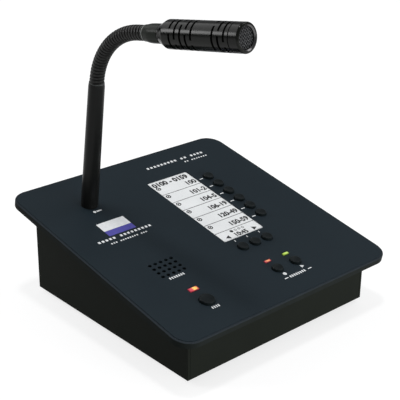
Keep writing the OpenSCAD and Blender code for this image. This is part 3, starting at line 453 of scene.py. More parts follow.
def make_wound_metal():
    """Tube finish: the mesh's crest mask mixes painted groove shade and a painted crest highlight, and lowers the
    roughness.
    """
    made, tree, shader = new_material("wound_metal")
    crest = add(tree, "ShaderNodeAttribute", attribute_name="crest").outputs["Fac"]
    highlight_patches = placed(tree, speckle, {"Size": 1.2, "Contrast": 1.6})
    # painted highlight on the rib crests, painted shade in the grooves
    crest_highlight = worked(tree, "MULTIPLY", crest, highlight_patches)
    colour = mixed(tree, crest_highlight, (0.0035, 0.0035, 0.0035), (0.026, 0.027, 0.0255))
    fill(tree, shader, {"Base Color": colour, "Roughness": ranged(tree, crest, 0.62, 0.33),
                        "Specular IOR Level": 0.16})
    fine = placed(tree, speckle, {"Size": 0.25, "Contrast": 1.2})
    lifted(tree, shader, fine, lift=0.008, strength=0.5)
    return made


def make_ring_black():
    """The body's black with bare metal on the inner bevel: it lies behind the front face, near the hole."""
    made, tree, shader = new_material("ring_black")
    front = (points_of("mic_front_ring") @ head_axis).max()
    behind = share(tree, head_axis, front - bevel_from * mm, front - bevel_to * mm)
    place = add(tree, "ShaderNodeTexCoord").outputs["Object"]
    apart = add(tree, "ShaderNodeVectorMath", {0: place, 1: tuple(head_foot)}, operation="SUBTRACT")
    sides = {0: apart.outputs[0], 1: tuple(head_axis)}
    aside = add(tree, "ShaderNodeVectorMath", sides, operation="CROSS_PRODUCT").outputs[0]
    radius = add(tree, "ShaderNodeVectorMath", {0: aside}, operation="LENGTH").outputs["Value"]
    ends = {"Value": radius, "From Min": bevel_outer * mm, "From Max": bevel_inner * mm}
    near = add(tree, "ShaderNodeMapRange", ends).outputs["Result"]
    bevel = worked(tree, "MULTIPLY", behind, near)
    patches = placed(tree, speckle, {"Size": 3.0, "Contrast": patch_contrast})
    black = mixed(tree, patches, (0.003, 0.0034, 0.0028), (0.006, 0.0066, 0.005))
    rough = worked(tree, "MULTIPLY_ADD", bevel, 0.08, ranged(tree, patches, 0.14, 0.24))
    fill(tree, shader, {"Base Color": mixed(tree, bevel, black, (0.12, 0.118, 0.12)), "Metallic": bevel,
                        "Roughness": rough, "Specular IOR Level": 0.16})
    return made


wound_metal, ring_black = make_wound_metal(), make_ring_black()
print("finishes that change from place to place:", wound_metal.name, ring_black.name)

# %% [markdown]
# The lights are small block lenses lit from inside. The talk light is redder at its left end and hot
# yellow white past its middle, so a colour ramp follows the lens from left to right. A lamp in a block of
# glass would be truer, but slow and grainy at this size, so the lens itself glows, less towards its rim.
# The display is white paper-like stock.

# %% Lights and display finishes
def hump(tree, value):
    """A value from 0 to 1 turned into an arch: four times the value times what it lacks to one."""
    product = worked(tree, "MULTIPLY", value, worked(tree, "SUBTRACT", 1.0, value))
    return worked(tree, "MULTIPLY", product, 4.0)


def make_lens(name, node, rim, stops, glow=0.4):
    """Lit lens: a ramp of colours from its left to its right end, falling to a rim colour at the edges."""
    made, tree, shader = new_material(name)
    u, v = points_of(node) @ across, points_of(node) @ slope
    along, up = share(tree, across, u.min(), u.max()), share(tree, slope, v.min(), v.max())
    cloud = placed(tree, speckle, {"Size": 0.9, "Contrast": 0.25})
    shifted = worked(tree, "SUBTRACT", worked(tree, "ADD", along, cloud), 0.5)
    ramp = add(tree, "ShaderNodeValToRGB", {"Fac": shifted})
    while len(ramp.color_ramp.elements) < len(stops):
        ramp.color_ramp.elements.new(0.5)
    for element, (at, colour) in zip(ramp.color_ramp.elements, stops):
        element.position, element.color = at, (*colour, 1)
    middle = worked(tree, "MULTIPLY", hump(tree, along), hump(tree, up))
    inside = add(tree, "ShaderNodeMapRange", {"Value": middle, "From Max": 0.45}).outputs["Result"]
    colour = mixed(tree, inside, rim, ramp.outputs["Color"])
    fill(tree, shader, {"Base Color": colour, "Emission Color": colour, "Emission Strength": glow,
                        "Roughness": 0.35})
    return made


talk_lens = make_lens("talk_lens", "talk_led", (0.3, 0.024, 0.04), [
    (0.0, (0.5, 0.055, 0.09)), (0.36, (0.55, 0.075, 0.09)), (0.55, (0.9, 0.56, 0.14)),
    (0.8, (0.85, 0.48, 0.12)), (1.0, (0.6, 0.16, 0.06))])
record_lens = make_lens("record_lens", "record_led", (0.26, 0.026, 0.045), [
    (0.0, (0.45, 0.07, 0.09)), (0.6, (0.72, 0.3, 0.12)), (1.0, (0.5, 0.1, 0.08))])
play_lens = make_lens("play_lens", "play_led", (0.13, 0.2, 0.018), [
    (0.0, (0.33, 0.47, 0.06)), (0.5, (0.4, 0.55, 0.1)), (1.0, (0.48, 0.62, 0.18))])
paper_white = coat("paper_white", (0.72, 0.735, 0.74), (0.766, 0.778, 0.782), (0.55, 0.7),
                   lift=0.004, patch=12, grain=0.2, specular=0.2)
print("lenses and display paper")

# %% [markdown]
# The clear sheet over the display lets light straight through. Glass that bends light could be used, but
# it would throw a shadow on the print below. So the sheet is mostly transparent and adds only a faint satin
# veil, a little stronger where it has been touched. Inks are coats with a fine grain.

# %% Clear sheet and inks
def make_clear_sheet():
    """Clear satin sheet: alpha stays near a fiftieth and wanders a little with touch marks."""
    made, tree, shader = new_material("clear_sheet")
    touch = placed(tree, speckle, {"Size": 9.0, "Contrast": 2.0})
    fill(tree, shader, {"Base Color": (0.9, 0.92, 0.93, 1), "Alpha": ranged(tree, touch, 0.012, 0.03),
                        "Roughness": ranged(tree, touch, 0.2, 0.4)})
    return made


clear_sheet = make_clear_sheet()
white_ink = coat("white_ink", (0.66, 0.68, 0.69), (0.78, 0.79, 0.8), (0.5, 0.65),
                 lift=0.004, patch=1.5, grain=0.15, specular=0.3)
violet_ink = coat("violet_ink", (0.065, 0.06, 0.3), (0.085, 0.08, 0.36), (0.5, 0.65),
                  lift=0.004, patch=2.0, grain=0.15, specular=0.3)
display_ink = coat("display_ink", (0.008, 0.0085, 0.009), (0.016, 0.0165, 0.017), (0.6, 0.75),
                   lift=0.003, patch=1.0, grain=0.12, specular=0.15)
pale_ink = coat("pale_ink", (0.08, 0.083, 0.083), (0.12, 0.124, 0.124), (0.6, 0.75),
                lift=0.003, patch=1.0, grain=0.12, specular=0.15)
print("inks ready")

# %% [markdown]
# Circuit boards are glass cloth under green lacquer with paler copper lines. They are inside the
# case, but a part is also looked at in pieces, so they get their own finish. The lines could be drawn one
# by one, but a pattern is enough there: a wave gives the lines, patches of noise choose where they run, and
# a fine cloth grain varies the gloss. The ribbon cable and the leads are plain coats.

# %% Boards, ribbon and leads
def make_board_green():
    """Green lacquer with paler, raised tracks where a wave along x is high within patches of noise."""
    made, tree, shader = new_material("board_green")
    place = add(tree, "ShaderNodeTexCoord").outputs["Object"]
    wave = {"Vector": place, "Scale": 160.0, "Distortion": 1.5, "Detail": 0.0}
    lines = add(tree, "ShaderNodeTexWave", wave, bands_direction="X")
    zones = placed(tree, speckle, {"Size": 14.0, "Contrast": 6.0})
    tracks = worked(tree, "MULTIPLY", lines.outputs["Fac"], zones)
    colour = mixed(tree, tracks, (0.008, 0.06, 0.028), (0.02, 0.13, 0.06))
    cloth = placed(tree, speckle, {"Size": 0.3, "Contrast": 1.2})
    fill(tree, shader, {"Base Color": colour, "Roughness": ranged(tree, cloth, 0.3, 0.45)})
    lifted(tree, shader, tracks, lift=0.02, strength=0.5)
    return made


board_green = make_board_green()
ribbon_grey = coat("ribbon_grey", (0.2, 0.205, 0.21), (0.27, 0.275, 0.28), (0.45, 0.6),
                   lift=0.02, patch=5, grain=0.5)
lead_black = coat("lead_black", (0.014, 0.014, 0.014), (0.024, 0.024, 0.024), (0.5, 0.65),
                  lift=0.02, patch=5, grain=0.4)
print("inner finishes ready")

# %% [markdown]
# The record names a material slot for every node, so one table from slot to finish dresses all the
# solids but the microphone's front ring, which has a finish of its own. The solids could be dressed one by
# one, but a table shows at a glance that no slot is missed. The mesh of a node is left alone; only its
# material slots change.

# %% Dress the solids
finish_of = {
    "plate": plate_paint, "overlay": panel_sheet, "case": case_paint, "steel": zinc_steel,
    "foot_rubber": foot_rubber, "soft_rubber": foot_rubber, "window": clear_sheet, "display": paper_white,
    "board": board_green, "brass": turned_brass, "black_plastic": black_moulding, "key": key_plastic,
    "talk_light": talk_lens, "record_light": record_lens, "play_light": play_lens, "cone": pulp_cone,
    "magnet": zinc_steel, "ribbon": ribbon_grey, "lead": lead_black, "sleeve": sleeve_black,
    "flex": wound_metal, "coupling": coupling_grey, "mic": microphone_black, "mesh": weave_wire,
    "capsule": capsule_can, "grub": black_screw}
for part in frame["record"]["subparts"]:
    solid = nodes[part["node"]]
    finish = ring_black if part["node"] == "mic_front_ring" else finish_of[part["material_slot"]]
    if not solid.material_slots:
        solid.data.materials.append(finish)
    for slot in solid.material_slots:
        slot.material = finish

# %% [markdown]
# New pieces are grids of points worked out as whole arrays. Neighbours in a grid make four-cornered
# faces, and a grid can close on itself in either direction, as a tube or a ring does. The pieces could be
# modelled by hand, but a formula keeps every size exact and easy to change.

# %% Grids into meshes
def grid_faces(rows, columns, close_rows=False, close_columns=False):
    """Faces between neighbours of a grid numbered row by row; a closed direction joins last to first."""
    i = np.arange(rows if close_rows else rows - 1)[:, None]
    j = np.arange(columns if close_columns else columns - 1)[None, :]
    here, below, right = i * columns, (i + 1) % rows * columns, (j + 1) % columns
    return np.stack([here + j, here + right, below + right, below + j], -1).reshape(-1, 4)


def capped_faces(rows, columns):
    """Faces of a grid that closes in its columns, as a wire does, with one more face across each end."""
    last = (rows - 1) * columns
    caps = [list(range(columns))[::-1], list(range(last, last + columns))]
    return grid_faces(rows, columns, False, True).tolist() + caps


def build(name, points, faces, finish, smooth=True):
    """A mesh object at the origin from rows of points in metres and lists of corners."""
    mesh = bpy.data.meshes.new(name)
    corners = [list(map(int, face)) for face in faces]
    mesh.from_pydata(np.asarray(points).reshape(-1, 3).tolist(), [], corners)
    mesh.polygons.foreach_set("use_smooth", np.full(len(mesh.polygons), smooth))
    mesh.materials.append(finish)
    made = bpy.data.objects.new(name, mesh)
    bpy.context.scene.collection.objects.link(made)
    print(name, len(mesh.vertices), "points", len(mesh.polygons), "faces")
    return made


def merged(parts):
    """Several (points, faces) pairs as one pair, with the later corners counted on."""
    starts = np.cumsum([0] + [len(points) for points, _ in parts[:-1]])
    faces = []
    for (_, own), start in zip(parts, starts):
        faces += [[corner + start for corner in face] for face in own]
    return np.concatenate([points for points, _ in parts]), faces


print("a grid of 3 by 4 points has", len(grid_faces(3, 4)), "faces")

# %% [markdown]
# The gooseneck is a steel strip wound into a tube: each turn is a rounded band, and a narrow groove
# winds between the turns. A Screw modifier could wind a strip, but this tube also has to bend with two
# joints without gaps, so it is one skin. Its radius is a function of length and angle, and the groove
# follows a screw line. Skin, bore and both ends are one closed grid.

# %% The wound tube
rings_per_turn, bore_rings, around = 14, 24, 56
groove_width, crown_share = 0.15, 0.1


def wound_tube(name, start, stop):
    """Tube from start to stop along the neck: its radius dips in a bell shape where length over pitch minus
    the turn's share is half way between whole numbers, and the bore runs back to close the grid."""
    rings = int(round((stop - start) / rib_pitch * rings_per_turn))
    along = np.concatenate([np.linspace(start, stop, rings), np.linspace(stop, start, bore_rings)])
    theta = np.linspace(0, 2 * np.pi, around, endpoint=False)
    phase = (along[:, None] / rib_pitch - theta / (2 * np.pi)) % 1.0
    groove = np.exp(-((phase - 0.5) / groove_width) ** 2)
    crown = crown_share * (1 - np.cos(2 * np.pi * phase)) / 2
    skin = np.arange(len(along))[:, None] < rings
    radius = np.where(skin, tube_radius - rib_depth * np.maximum(groove, crown), bore_radius)
    centre, angle = neck_line(along)
    side = np.stack([np.zeros_like(angle), np.cos(angle), np.sin(angle)], -1)
    points = centre[:, None, :] + radius[..., None] * (
        np.cos(theta)[:, None] * np.array([1.0, 0, 0]) + np.sin(theta)[:, None] * side[:, None, :])
    made = build(name, in_neck(points), grid_faces(len(along), around, True, True), wound_metal)
    crest = made.data.attributes.new("crest", "FLOAT", "POINT")
    crest.data.foreach_set("value", np.where(skin, 1 - groove, 0.0).astype(np.float32).ravel())
    return made


lower_tube = wound_tube("wound_tube_lower", 0.0, tube_middle)
upper_tube = wound_tube("wound_tube_upper", tube_middle, tube_length)
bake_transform(lower_tube)
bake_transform(upper_tube)
for tube, node in ((lower_tube, "neck_flex_lower"), (upper_tube, "neck_flex_upper")):
    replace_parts(tube, node)
    low, high = (np.array(corner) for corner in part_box(node))
    skin = mesh_points(tube.data)
    below, above = (low - skin.min(0)).round(5), (skin.max(0) - high).round(5)
    print(tube.name, "lies past the solid's box by", below, above)

# %% [markdown]
# Behind the front ring of the microphone lies woven wire. A bump pattern would do from afar, but it looks
# flat close up, so every wire is a thin tube of its own. It rises over one crossing wire and dips under the
# next, a cosine with the spacing as half its wave, and the two directions are half a wave apart. The sheet
# is bent back at its rim, by the sixth power of the radius.

# %% Woven wire
mesh_level, weave_radius, spacing, wire, rim_drop, rim_power = 62.2, 5.6, 1.2, 0.16, 0.45, 6
weave_turn, wires_each_side = math.radians(45), 4


def woven(count, samples=45, sides=5):
    """Wires at whole steps of the spacing: a place along the wire, an offset beside it and a cosine rise."""
    step = np.arange(-count, count + 1)[:, None]
    chord = np.sqrt(weave_radius**2 - (step * spacing) ** 2)
    run = chord * np.linspace(-1, 1, samples)
    rise = wire * np.cos(np.pi * (run / spacing + step))
    phi = np.linspace(0, 2 * np.pi, sides, endpoint=False)
    beside = step[..., None] * spacing + wire * np.cos(phi)
    height = rise[..., None] + wire * np.sin(phi)
    strands = list(zip(*np.broadcast_arrays(run[..., None], beside, height)))
    faces = capped_faces(samples, sides)
    first = merged([(np.stack([r, b, h], -1).reshape(-1, 3), faces) for r, b, h in strands])
    second = merged([(np.stack([b, r, -h], -1).reshape(-1, 3), faces) for r, b, h in strands])
    return merged([first, second])


weave_points, weave_faces = woven(wires_each_side)
from_axis = np.hypot(weave_points[:, 0], weave_points[:, 1])
weave_points[:, 2] -= rim_drop * (from_axis / weave_radius) ** rim_power
slant = np.array(Matrix.Rotation(weave_turn, 3, "Z"))
weave = build("woven_wire", in_head(weave_points @ slant + [0, 0, mesh_level]), weave_faces, weave_wire)
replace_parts(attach(weave, "mic_head"), "mic_mesh")

# %% [markdown]
# A dark cloth lies behind the wire, over the capsule, so that nothing pale shows between the wires. A flat
# disc would be simpler, but the bent rim of the wire would run into it. So the cloth is a thin profile of
# about the wire's form, turned about the microphone's axis.

# %% Cloth over the capsule
def circles(radii, heights, sides):
    """Points at equal angles on circles about z, one circle for each radius and height."""
    theta = np.linspace(0, 2 * np.pi, sides, endpoint=False)
    r, z = np.array(radii, float)[:, None], np.array(heights, float)[:, None]
    return np.stack([r * np.cos(theta), r * np.sin(theta), z + 0 * theta], -1).reshape(-1, 3)


def lathe(profile, sides=48):
    """Profile of (radius, height) turned about z; its first and last points lie on the axis."""
    profile = np.asarray(profile, float)
    rings = circles(*profile[1:-1].T, sides)
    points = np.concatenate([rings, [[0, 0, profile[0, 1]], [0, 0, profile[-1, 1]]]])
    last = len(rings) - sides
    fans = [[(k + 1) % sides, k, len(rings)] for k in range(sides)]
    fans += [[last + k, last + (k + 1) % sides, len(rings) + 1] for k in range(sides)]
    return points, grid_faces(len(profile) - 2, sides, False, True).tolist() + fans


cloth_profile = [(0, -0.85), (4.6, -0.95), (5.3, -1.15), (5.5, -1.08), (5.55, -0.95), (5.5, -0.82),
                 (5.2, -0.7), (4.6, -0.5), (3.6, -0.39), (0, -0.35)]
cloth_points, cloth_faces = lathe(cloth_profile)
cloth = build("capsule_cloth", in_head(cloth_points + [0, 0, mesh_level]), cloth_faces, dark_cloth)
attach(cloth, "mic_head")

# %% [markdown]
# The slots round the body open into its bore. A thin near-black felt tube lines the bore behind them as
# painted shade: it stands in for the shade inside the microphone, so the slots read dark from every side.
# It is made of four circles, joined all round.

# %% Felt lining
felt_outer, felt_inner, felt_from, felt_to = 6.05, 5.6, 18.8, 51.58


def plain_tube(outer, inner, low, high, sides=48):
    """Closed tube about z: circles at outer low, outer high, inner high and inner low, joined all round."""
    points = circles((outer, outer, inner, inner), (low, high, high, low), sides)
    return points, grid_faces(4, sides, True, True).tolist()


felt_points, felt_faces = plain_tube(felt_outer, felt_inner, felt_from, felt_to)
felt = build("slot_shade_lining", in_head(felt_points), felt_faces, shade_lining_felt, smooth=False)
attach(felt, "mic_head")

# %% [markdown]
# Printed marks are thin films of ink. A picture laid on the panel could show them, but an outline with a
# little thickness stays crisp close up and in the exported mesh. A stroke is a line with a width, a hoop is
# a closed ring, and a prism is any other outline. All are given in panel millimetres.

# %% Ink shapes
def prism(outline, low, high):
    """Closed film: an outline, turned anticlockwise, at two levels, with two faces and a wall between."""
    x, y = np.asarray(outline, float).T
    if (x * np.roll(y, -1) - y * np.roll(x, -1)).sum() < 0:
        x, y = x[::-1], y[::-1]
    return np.concatenate([on_panel(x, y, low), on_panel(x, y, high)]), capped_faces(2, len(x))


def left_of(path):
    """Unit directions square to a path, to its left: the slope along it, turned a quarter."""
    ahead = np.gradient(path, axis=0)
    ahead /= np.linalg.norm(ahead, axis=1, keepdims=True)
    return np.stack([-ahead[:, 1], ahead[:, 0]], -1)


def stroke(path, width, low, high):
    """Line with a width: half the width to each side of the path, square to its direction."""
    path = np.asarray(path, float)
    aside = left_of(path) * width / 2
    return prism(np.concatenate([path - aside, (path + aside)[::-1]]), low, high)


def bar(u0, u1, v0, v1, low, high):
    """Rectangle between two values of u and of v."""
    return prism([(u0, v0), (u1, v0), (u1, v1), (u0, v1)], low, high)


def arc(centre, radius, start, stop, count):
    """Points on a circle between two angles in degrees."""
    t = np.radians(np.linspace(start, stop, count))
    return np.stack([centre[0] + radius * np.cos(t), centre[1] + radius * np.sin(t)], -1)


def disc(centre, radius, low, high, count=28):
    """Round film: a circle's points, short of meeting the first one again."""
    return prism(arc(centre, radius, 0, 350, count), low, high)


def hoop(centre, inner, outer, low, high, count=36):
    """Flat ring: a closed tube of very little height, moved to its place on the panel."""
    points, faces = plain_tube(outer, inner, low, high, count)
    return on_panel(*(points + [*centre, 0]).T), faces


def rounded(u0, u1, v0, v1, r):
    """Outline of a rectangle with round corners."""
    return np.concatenate([arc((u, v), r, a, a + 90, 9) for u, v, a in (
        (u1 - r, v0 + r, -90), (u1 - r, v1 - r, 0), (u0 + r, v1 - r, 90), (u0 + r, v0 + r, 180))])


film = (0.002, 0.03)
print("ink film", film, "mm")

# %% [markdown]
# On the panel, a white tick stands beside every zone key and above every menu key. Small pictures
# stand for the microphone, record and play. Every place could be a number, but most are taken from the
# middles of the keys, so that a mark stays with its key.

# %% Ticks and small pictures
tick_from, tick_to, tick_half = 31.8, 34.4, 0.3
menu_tick_low, menu_tick_high = 52.3, 53.6
sign_low, sign_v, sign_high = 16.3, 17.4, 18.5
dash_low, dash_high = 13.7, 14.3
zone_v = [middle_of(f"zone_key_{k}")[1] for k in range(1, 7)]
menu_u = [middle_of(f"menu_key_{k}")[0] for k in ("left", "middle", "right")]
record_u, play_u = middle_of("record_key")[0], middle_of("play_key")[0]
marks = [bar(tick_from, tick_to, v - tick_half, v + tick_half, *film) for v in zone_v]
marks += [bar(u - tick_half, u + tick_half, menu_tick_low, menu_tick_high, *film) for u in menu_u]
# microphone picture, lying: a round head, a gap and a tapered handle
mic_shift, mic_v = -1.8, 113.0
mic_at = np.array([column + mic_shift, mic_v])
handle = mic_at + np.array([(1.3, -0.7), (4.6, -0.35), (4.6, 0.35), (1.3, 0.7)])
marks += [disc(mic_at, 0.9, *film), prism(handle, *film)]
# record disc, play triangle, and a dash to each side of the row below them
triangle = [(play_u - 0.9, sign_low), (play_u + 1.3, sign_v), (play_u - 0.9, sign_high)]
marks += [disc((record_u + 0.3, sign_v), 1.1, *film, count=32), prism(triangle, *film)]
marks += [bar(*ends, dash_low, dash_high, *film) for ends in ((5.7, 8.3), (23.1, 25.8))]
print("ticks and pictures", len(marks))

# %% [markdown]
# The panel's fine print is rows of short blocks, and a blank label of two fields lies in the left column.
# Letters could be set from a font, but blocks give the same weight with a few faces each, and they can't be
# taken for a name. The ticks, pictures and blocks become one piece.

# %% Rows of blocks and label
def blocks(u0, u1, v, height, groups, inked=0.56):
    """Row of short blocks: equal steps from u0 to u1, a share of each inked, one left out between groups."""
    places = np.flatnonzero(np.concatenate([[1] * count + [0] for count in groups]))
    step = (u1 - u0) / (places[-1] + 1)
    low, high = v - height / 2, v + height / 2
    return [bar(u0 + step * k, u0 + step * (k + inked), low, high, *film) for k in places]


# each row: left end, right end, middle up the slope, height, and the blocks in each group
block_rows = [
    (-59.0, -23.0, 88.0, 1.6, (5, 9)), (-53.4, -29.0, 84.2, 1.0, (3, 8, 3)),
    (11.4, 55.7, 135.0, 1.7, (9, 2, 4)), (37.3, 55.7, 131.0, 1.0, (2, 7)),
    (-46.4, -36.2, 44.9, 1.6, (7,)), (-43.5, -38.2, 15.9, 1.6, (4,)), (9.5, 21.6, 14.0, 1.6, (8,))]
for row in block_rows:
    marks += blocks(*row)
label_u, field_v, band_v, label_round = (-49.9, -32.0), (95.0, 102.5), (90.3, 94.9), 0.3
field = prism(rounded(*label_u, *field_v, label_round), *film)
band = prism(rounded(*label_u, *band_v, label_round), *film)
panel_marks = build("panel_marks", *merged(marks), white_ink, smooth=False)
label_white = build("label_field", *field, white_ink, smooth=False)
label_violet = build("label_band", *band, violet_ink, smooth=False)
for print_piece in (panel_marks, label_white, label_violet):
    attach(print_piece, "console")

# %% [markdown]
# The display shows numbers. Their figures could be built from strokes, but Blender's own font has even,
# familiar ones: text is turned into a mesh with a little thickness, then laid on the panel. Points that
# fall together are joined, so that each figure is a closed film.

# %% Figures from text
def figures(text, u, v, height, align, level, bold):
    """Text as a closed film: its own x and y scaled to the wanted height, then carried onto the panel."""
    curve = bpy.data.curves.new("figures", "FONT")
    curve.body, curve.extrude, curve.offset, curve.resolution_u = text, 0.01, bold, 4
    made = bpy.data.objects.new("figures", curve)
    bpy.context.scene.collection.objects.link(made)
    bpy.context.view_layer.update()
    mesh = made.to_mesh()
    local = mesh_points(mesh)
    faces = [list(face.vertices) for face in mesh.polygons]
    bpy.data.objects.remove(made)
    low, high = local.min(0), local.max(0)
    scale = height / (high[1] - low[1])
    width = (high[0] - low[0]) * scale
    start = {"left": u, "middle": u - width / 2, "right": u - width}[align]
    x, y = (local[:, 0] - low[0]) * scale + start, (local[:, 1] - low[1]) * scale + v
    n = np.where(local[:, 2] > 0, level[1], level[0])
    points, kept = np.unique(np.stack([x, y, n], -1).round(5), axis=0, return_inverse=True)
    kept = kept.ravel()
    return on_panel(*points.T), [[int(kept[corner]) for corner in face] for face in faces]


ink = (-0.297, -0.28)
heading_u, heading_v, heading_height, heading_bold = 2.2, 116.2, 4.4, 0.055
heading = figures("0100 - 0159", heading_u, heading_v, heading_height, "left", ink, heading_bold)
print("heading", len(heading[0]), "points", len(heading[1]), "faces")

# %% [markdown]
# Below the heading stand six rows, each with a ring sign at the left and a range of numbers at the
# right, then page dots, a clock and two arrows. One picture could hold it all, but films of ink stay sharp
# and go with the part. Rules and empty dots are paler than the figures, so they are a piece of their own.
# The clear cover fills the window above the print.

# %% Display drawing
row_v = [108.2, 99.25, 90.3, 81.3, 72.35, 63.4]
ranges = ["100", "101-2", "104-5", "106-19", "120-49", "150-59"]
range_end, range_lift, range_height, range_bold = 29.3, 1.7, 4.0, 0.045
clock_u, clock_v, clock_height = 15.7, 55.9, 3.5
arrow_v, arrow_low, arrow_high, arrow_ends = 57.6, 56.0, 59.2, ((4.1, 7.2), (27.2, 24.1))
dots_v, full_dot, empty_dots = 61.3, 11.5, (14.4, 17.1, 19.8)
rule_from, rule_to, rule_half, sign_u, sign_lift = 1.3, 30.1, 0.22, 3.6, 6.5
dark = [heading]
dark += [figures(text, range_end, v + range_lift, range_height, "right", ink, range_bold)
         for text, v in zip(ranges, row_v)]
dark += [figures("10:45", clock_u, clock_v, clock_height, "middle", ink, range_bold)]
dark += [prism([(tip, arrow_v), (tail, arrow_low), (tail, arrow_high)], *ink) for tip, tail in arrow_ends]
dark += [disc((full_dot, dots_v), 1.1, *ink)]
dark += [hoop((sign_u, v + sign_lift), 0.9, 1.55, *ink) for v in row_v]
dark += [stroke([(2.9, v + 6.1), (sign_u, v + 6.6), (4.4, v + 6.9)], 0.6, *ink) for v in row_v]
pale = [bar(rule_from, rule_to, v - rule_half, v + rule_half, *ink) for v in row_v]
pale += [hoop((u, dots_v), 0.5, 0.85, *ink) for u in empty_dots]
display_print = build("display_print", *merged(dark), display_ink, smooth=False)
display_rules = build("display_rules", *merged(pale), pale_ink, smooth=False)
cover_round, cover_film = 1.0, (-0.24, -0.01)
window = points_of("display_window")
window_u, window_v = window @ across / mm, (window @ slope - front_edge) / mm
outline = rounded(window_u.min(), window_u.max(), window_v.min(), window_v.max(), cover_round)
sheet = build("display_cover", *prism(outline, *cover_film), clear_sheet, smooth=False)
for drawn in (display_print, display_rules):
    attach(drawn, "console")
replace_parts(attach(sheet, "console"), "display_window")

# %% [markdown]
# Under the case stand four moulded feet: a tapered block with a round lower edge and a shallow hollow.
# A cylinder with a Bevel modifier would come close, but a profile turned about an upright axis gives the
# taper and the hollow too. Each foot is set its own radius in from the outline of the solid feet.

# %% Feet
foot_points = points_of("feet")
foot_x, foot_y = np.abs(foot_points[:, 0]).max(), (foot_points[:, 1].min(), foot_points[:, 1].max())
foot_radius, top = 6.0 * mm, foot_points[:, 2].max() / mm
foot_profile = [
    (0, 0.5), (2.2, 0.5), (2.5, 0.42), (2.7, 0.1), (2.9, 0.0), (4.9, 0.0), (5.2, 0.08), (5.4, 0.3),
    (5.52, 0.6), (5.9, top - 0.3), (5.98, top - 0.1), (5.95, top), (0, top)]
foot_shape, foot_faces = lathe(foot_profile)
foot_places = [(x, y) for x in (foot_x - foot_radius, foot_radius - foot_x)
               for y in (foot_y[0] + foot_radius, foot_y[1] - foot_radius)]
foot_parts = merged([(foot_shape * mm + [x, y, 0], foot_faces) for x, y in foot_places])
feet = build("moulded_feet", *foot_parts, foot_rubber)
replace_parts(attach(feet, "console"), "feet")

# %% [markdown]
# In the network socket eight springy contacts slope down from the roof. A curve with a round bevel could
# draw them, but stamped contacts have flat sides, so a square is carried along a bent line. The socket's
# box gives the roof, the mouth and the middle.

# %% Socket contacts
contact_count, contact_pitch, contact_half, roof_height = 8, 1.02, 0.2, 11.7
socket_low, socket_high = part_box("network_socket")
roof, mouth = socket_low.z + roof_height * mm, socket_high.y
socket_middle = (socket_low.x + socket_high.x) / 2


def contact(k):
    """Square wire carried along a bent line: along the roof, down a slope, and a short flat end."""
    x = socket_middle + (k - (contact_count - 1) / 2) * contact_pitch * mm
    line = np.array([(-3.0, -0.3), (-4.2, -0.32), (-5.0, -0.7), (-8.5, -2.6), (-9.6, -3.0), (-11.5, -3.1)])
    ring = np.array([(-1, -1), (1, -1), (1, 1), (-1, 1)]) * contact_half * mm
    along_up = line[:, None, :] * mm - ring[None, :, 1:] * left_of(line)[:, None, :]
    y, z = mouth + along_up[..., 0], roof + along_up[..., 1]
    points = np.stack([x + ring[:, 0] + 0 * y, y, z], -1)
    return points.reshape(-1, 3), capped_faces(len(line), len(ring))


contact_parts = merged([contact(k) for k in range(contact_count)])
contacts = build("socket_contacts", *contact_parts, turned_brass, smooth=False)
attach(contacts, "console")

# %% [markdown]
# The floor is plain and pale. It is lit like anything else and keeps the console's soft shadow; a
# little light of its own, seen by the camera, in reflections and through the clear sheet, brings it to
# white. Stronger lamps could do that, but they would wash out the dark panel. The world around gives a
# weak even light.

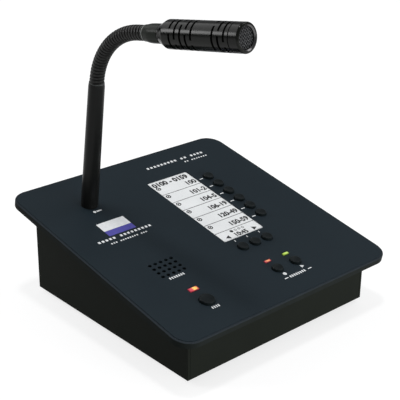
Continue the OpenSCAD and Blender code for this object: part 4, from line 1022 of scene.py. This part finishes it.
# %% Floor and world
reach, own_glow = 6, 0.75
floor_points = [(-reach, -reach, 0), (reach, -reach, 0), (reach, reach, 0), (-reach, reach, 0)]
floor_white, tree, shader = new_material("floor_white")
path = add(tree, "ShaderNodeLightPath").outputs
seen = worked(tree, "MAXIMUM", path["Is Camera Ray"], path["Is Glossy Ray"])
seen = worked(tree, "MAXIMUM", seen, path["Is Transmission Ray"])
fill(tree, shader, {"Base Color": (0.35, 0.35, 0.35, 1), "Roughness": 0.9, "Specular IOR Level": 0.1,
                    "Emission Color": (1, 1, 1, 1),
                    "Emission Strength": worked(tree, "MULTIPLY", seen, own_glow)})
floor = build("floor", floor_points, [[0, 1, 2, 3]], floor_white)
floor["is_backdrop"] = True

world = bpy.data.worlds.new("studio")
world.use_nodes = True
background = world.node_tree.nodes["Background"]
fill(world.node_tree, background, {"Color": (0.95, 0.97, 1.0, 1), "Strength": 0.25})
bpy.context.scene.world = world

# %% [markdown]
# Five soft lamps light the scene. One low behind on the left draws the bright line along the
# microphone, and a broad one behind lights its top. One overhead lays the microphone's faint shadow on
# the panel. A wide low one lifts the front wall and stays out of reflections, and one high on the right
# picks out the bevel of the microphone's ring. Point lamps would be simpler, but their shadows and
# reflections are hard, so each lamp is a rectangle.

# %% Lamps
def lamp(name, place, target, size, power, mirrored=True):
    """Soft rectangle that faces a point, (width, height) in metres; it may stay out of reflections."""
    light = bpy.data.lights.new(name, "AREA")
    light.shape, light.size, light.size_y, light.energy = "RECTANGLE", size[0], size[1], power
    made = bpy.data.objects.new(name, light)
    made.location = place
    made.visible_glossy = mirrored
    made.rotation_euler = (Vector(target) - Vector(place)).to_track_quat("-Z", "Y").to_euler()
    bpy.context.scene.collection.objects.link(made)


lamp("line_lamp", (-0.77, 0.71, 0.51), (-0.03, -0.03, 0.12), size=(0.35, 0.26), power=3.0)
lamp("back_lamp", (-0.35, 1.05, 0.95), (0.0, 0.0, 0.1), size=(1.4, 0.7), power=5.8)
lamp("top_lamp", (-0.115, -0.03, 1.66), (-0.03, -0.03, 0.1), size=(0.16, 0.16), power=5.8)
lamp("front_lamp", (0.4, -1.15, 0.14), (0.0, -0.06, 0.03), size=(1.4, 0.25), power=18.0, mirrored=False)
lamp("ring_lamp", (0.71, -0.26, 1.1), (-0.03, -0.1, 0.17), size=(0.6, 0.6), power=3.6)
print("lamps", [light.name for light in bpy.data.lights])

# %% [markdown]
# Last, the box of the dressed model is worked out.

# %% Sizes and finish
low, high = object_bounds()
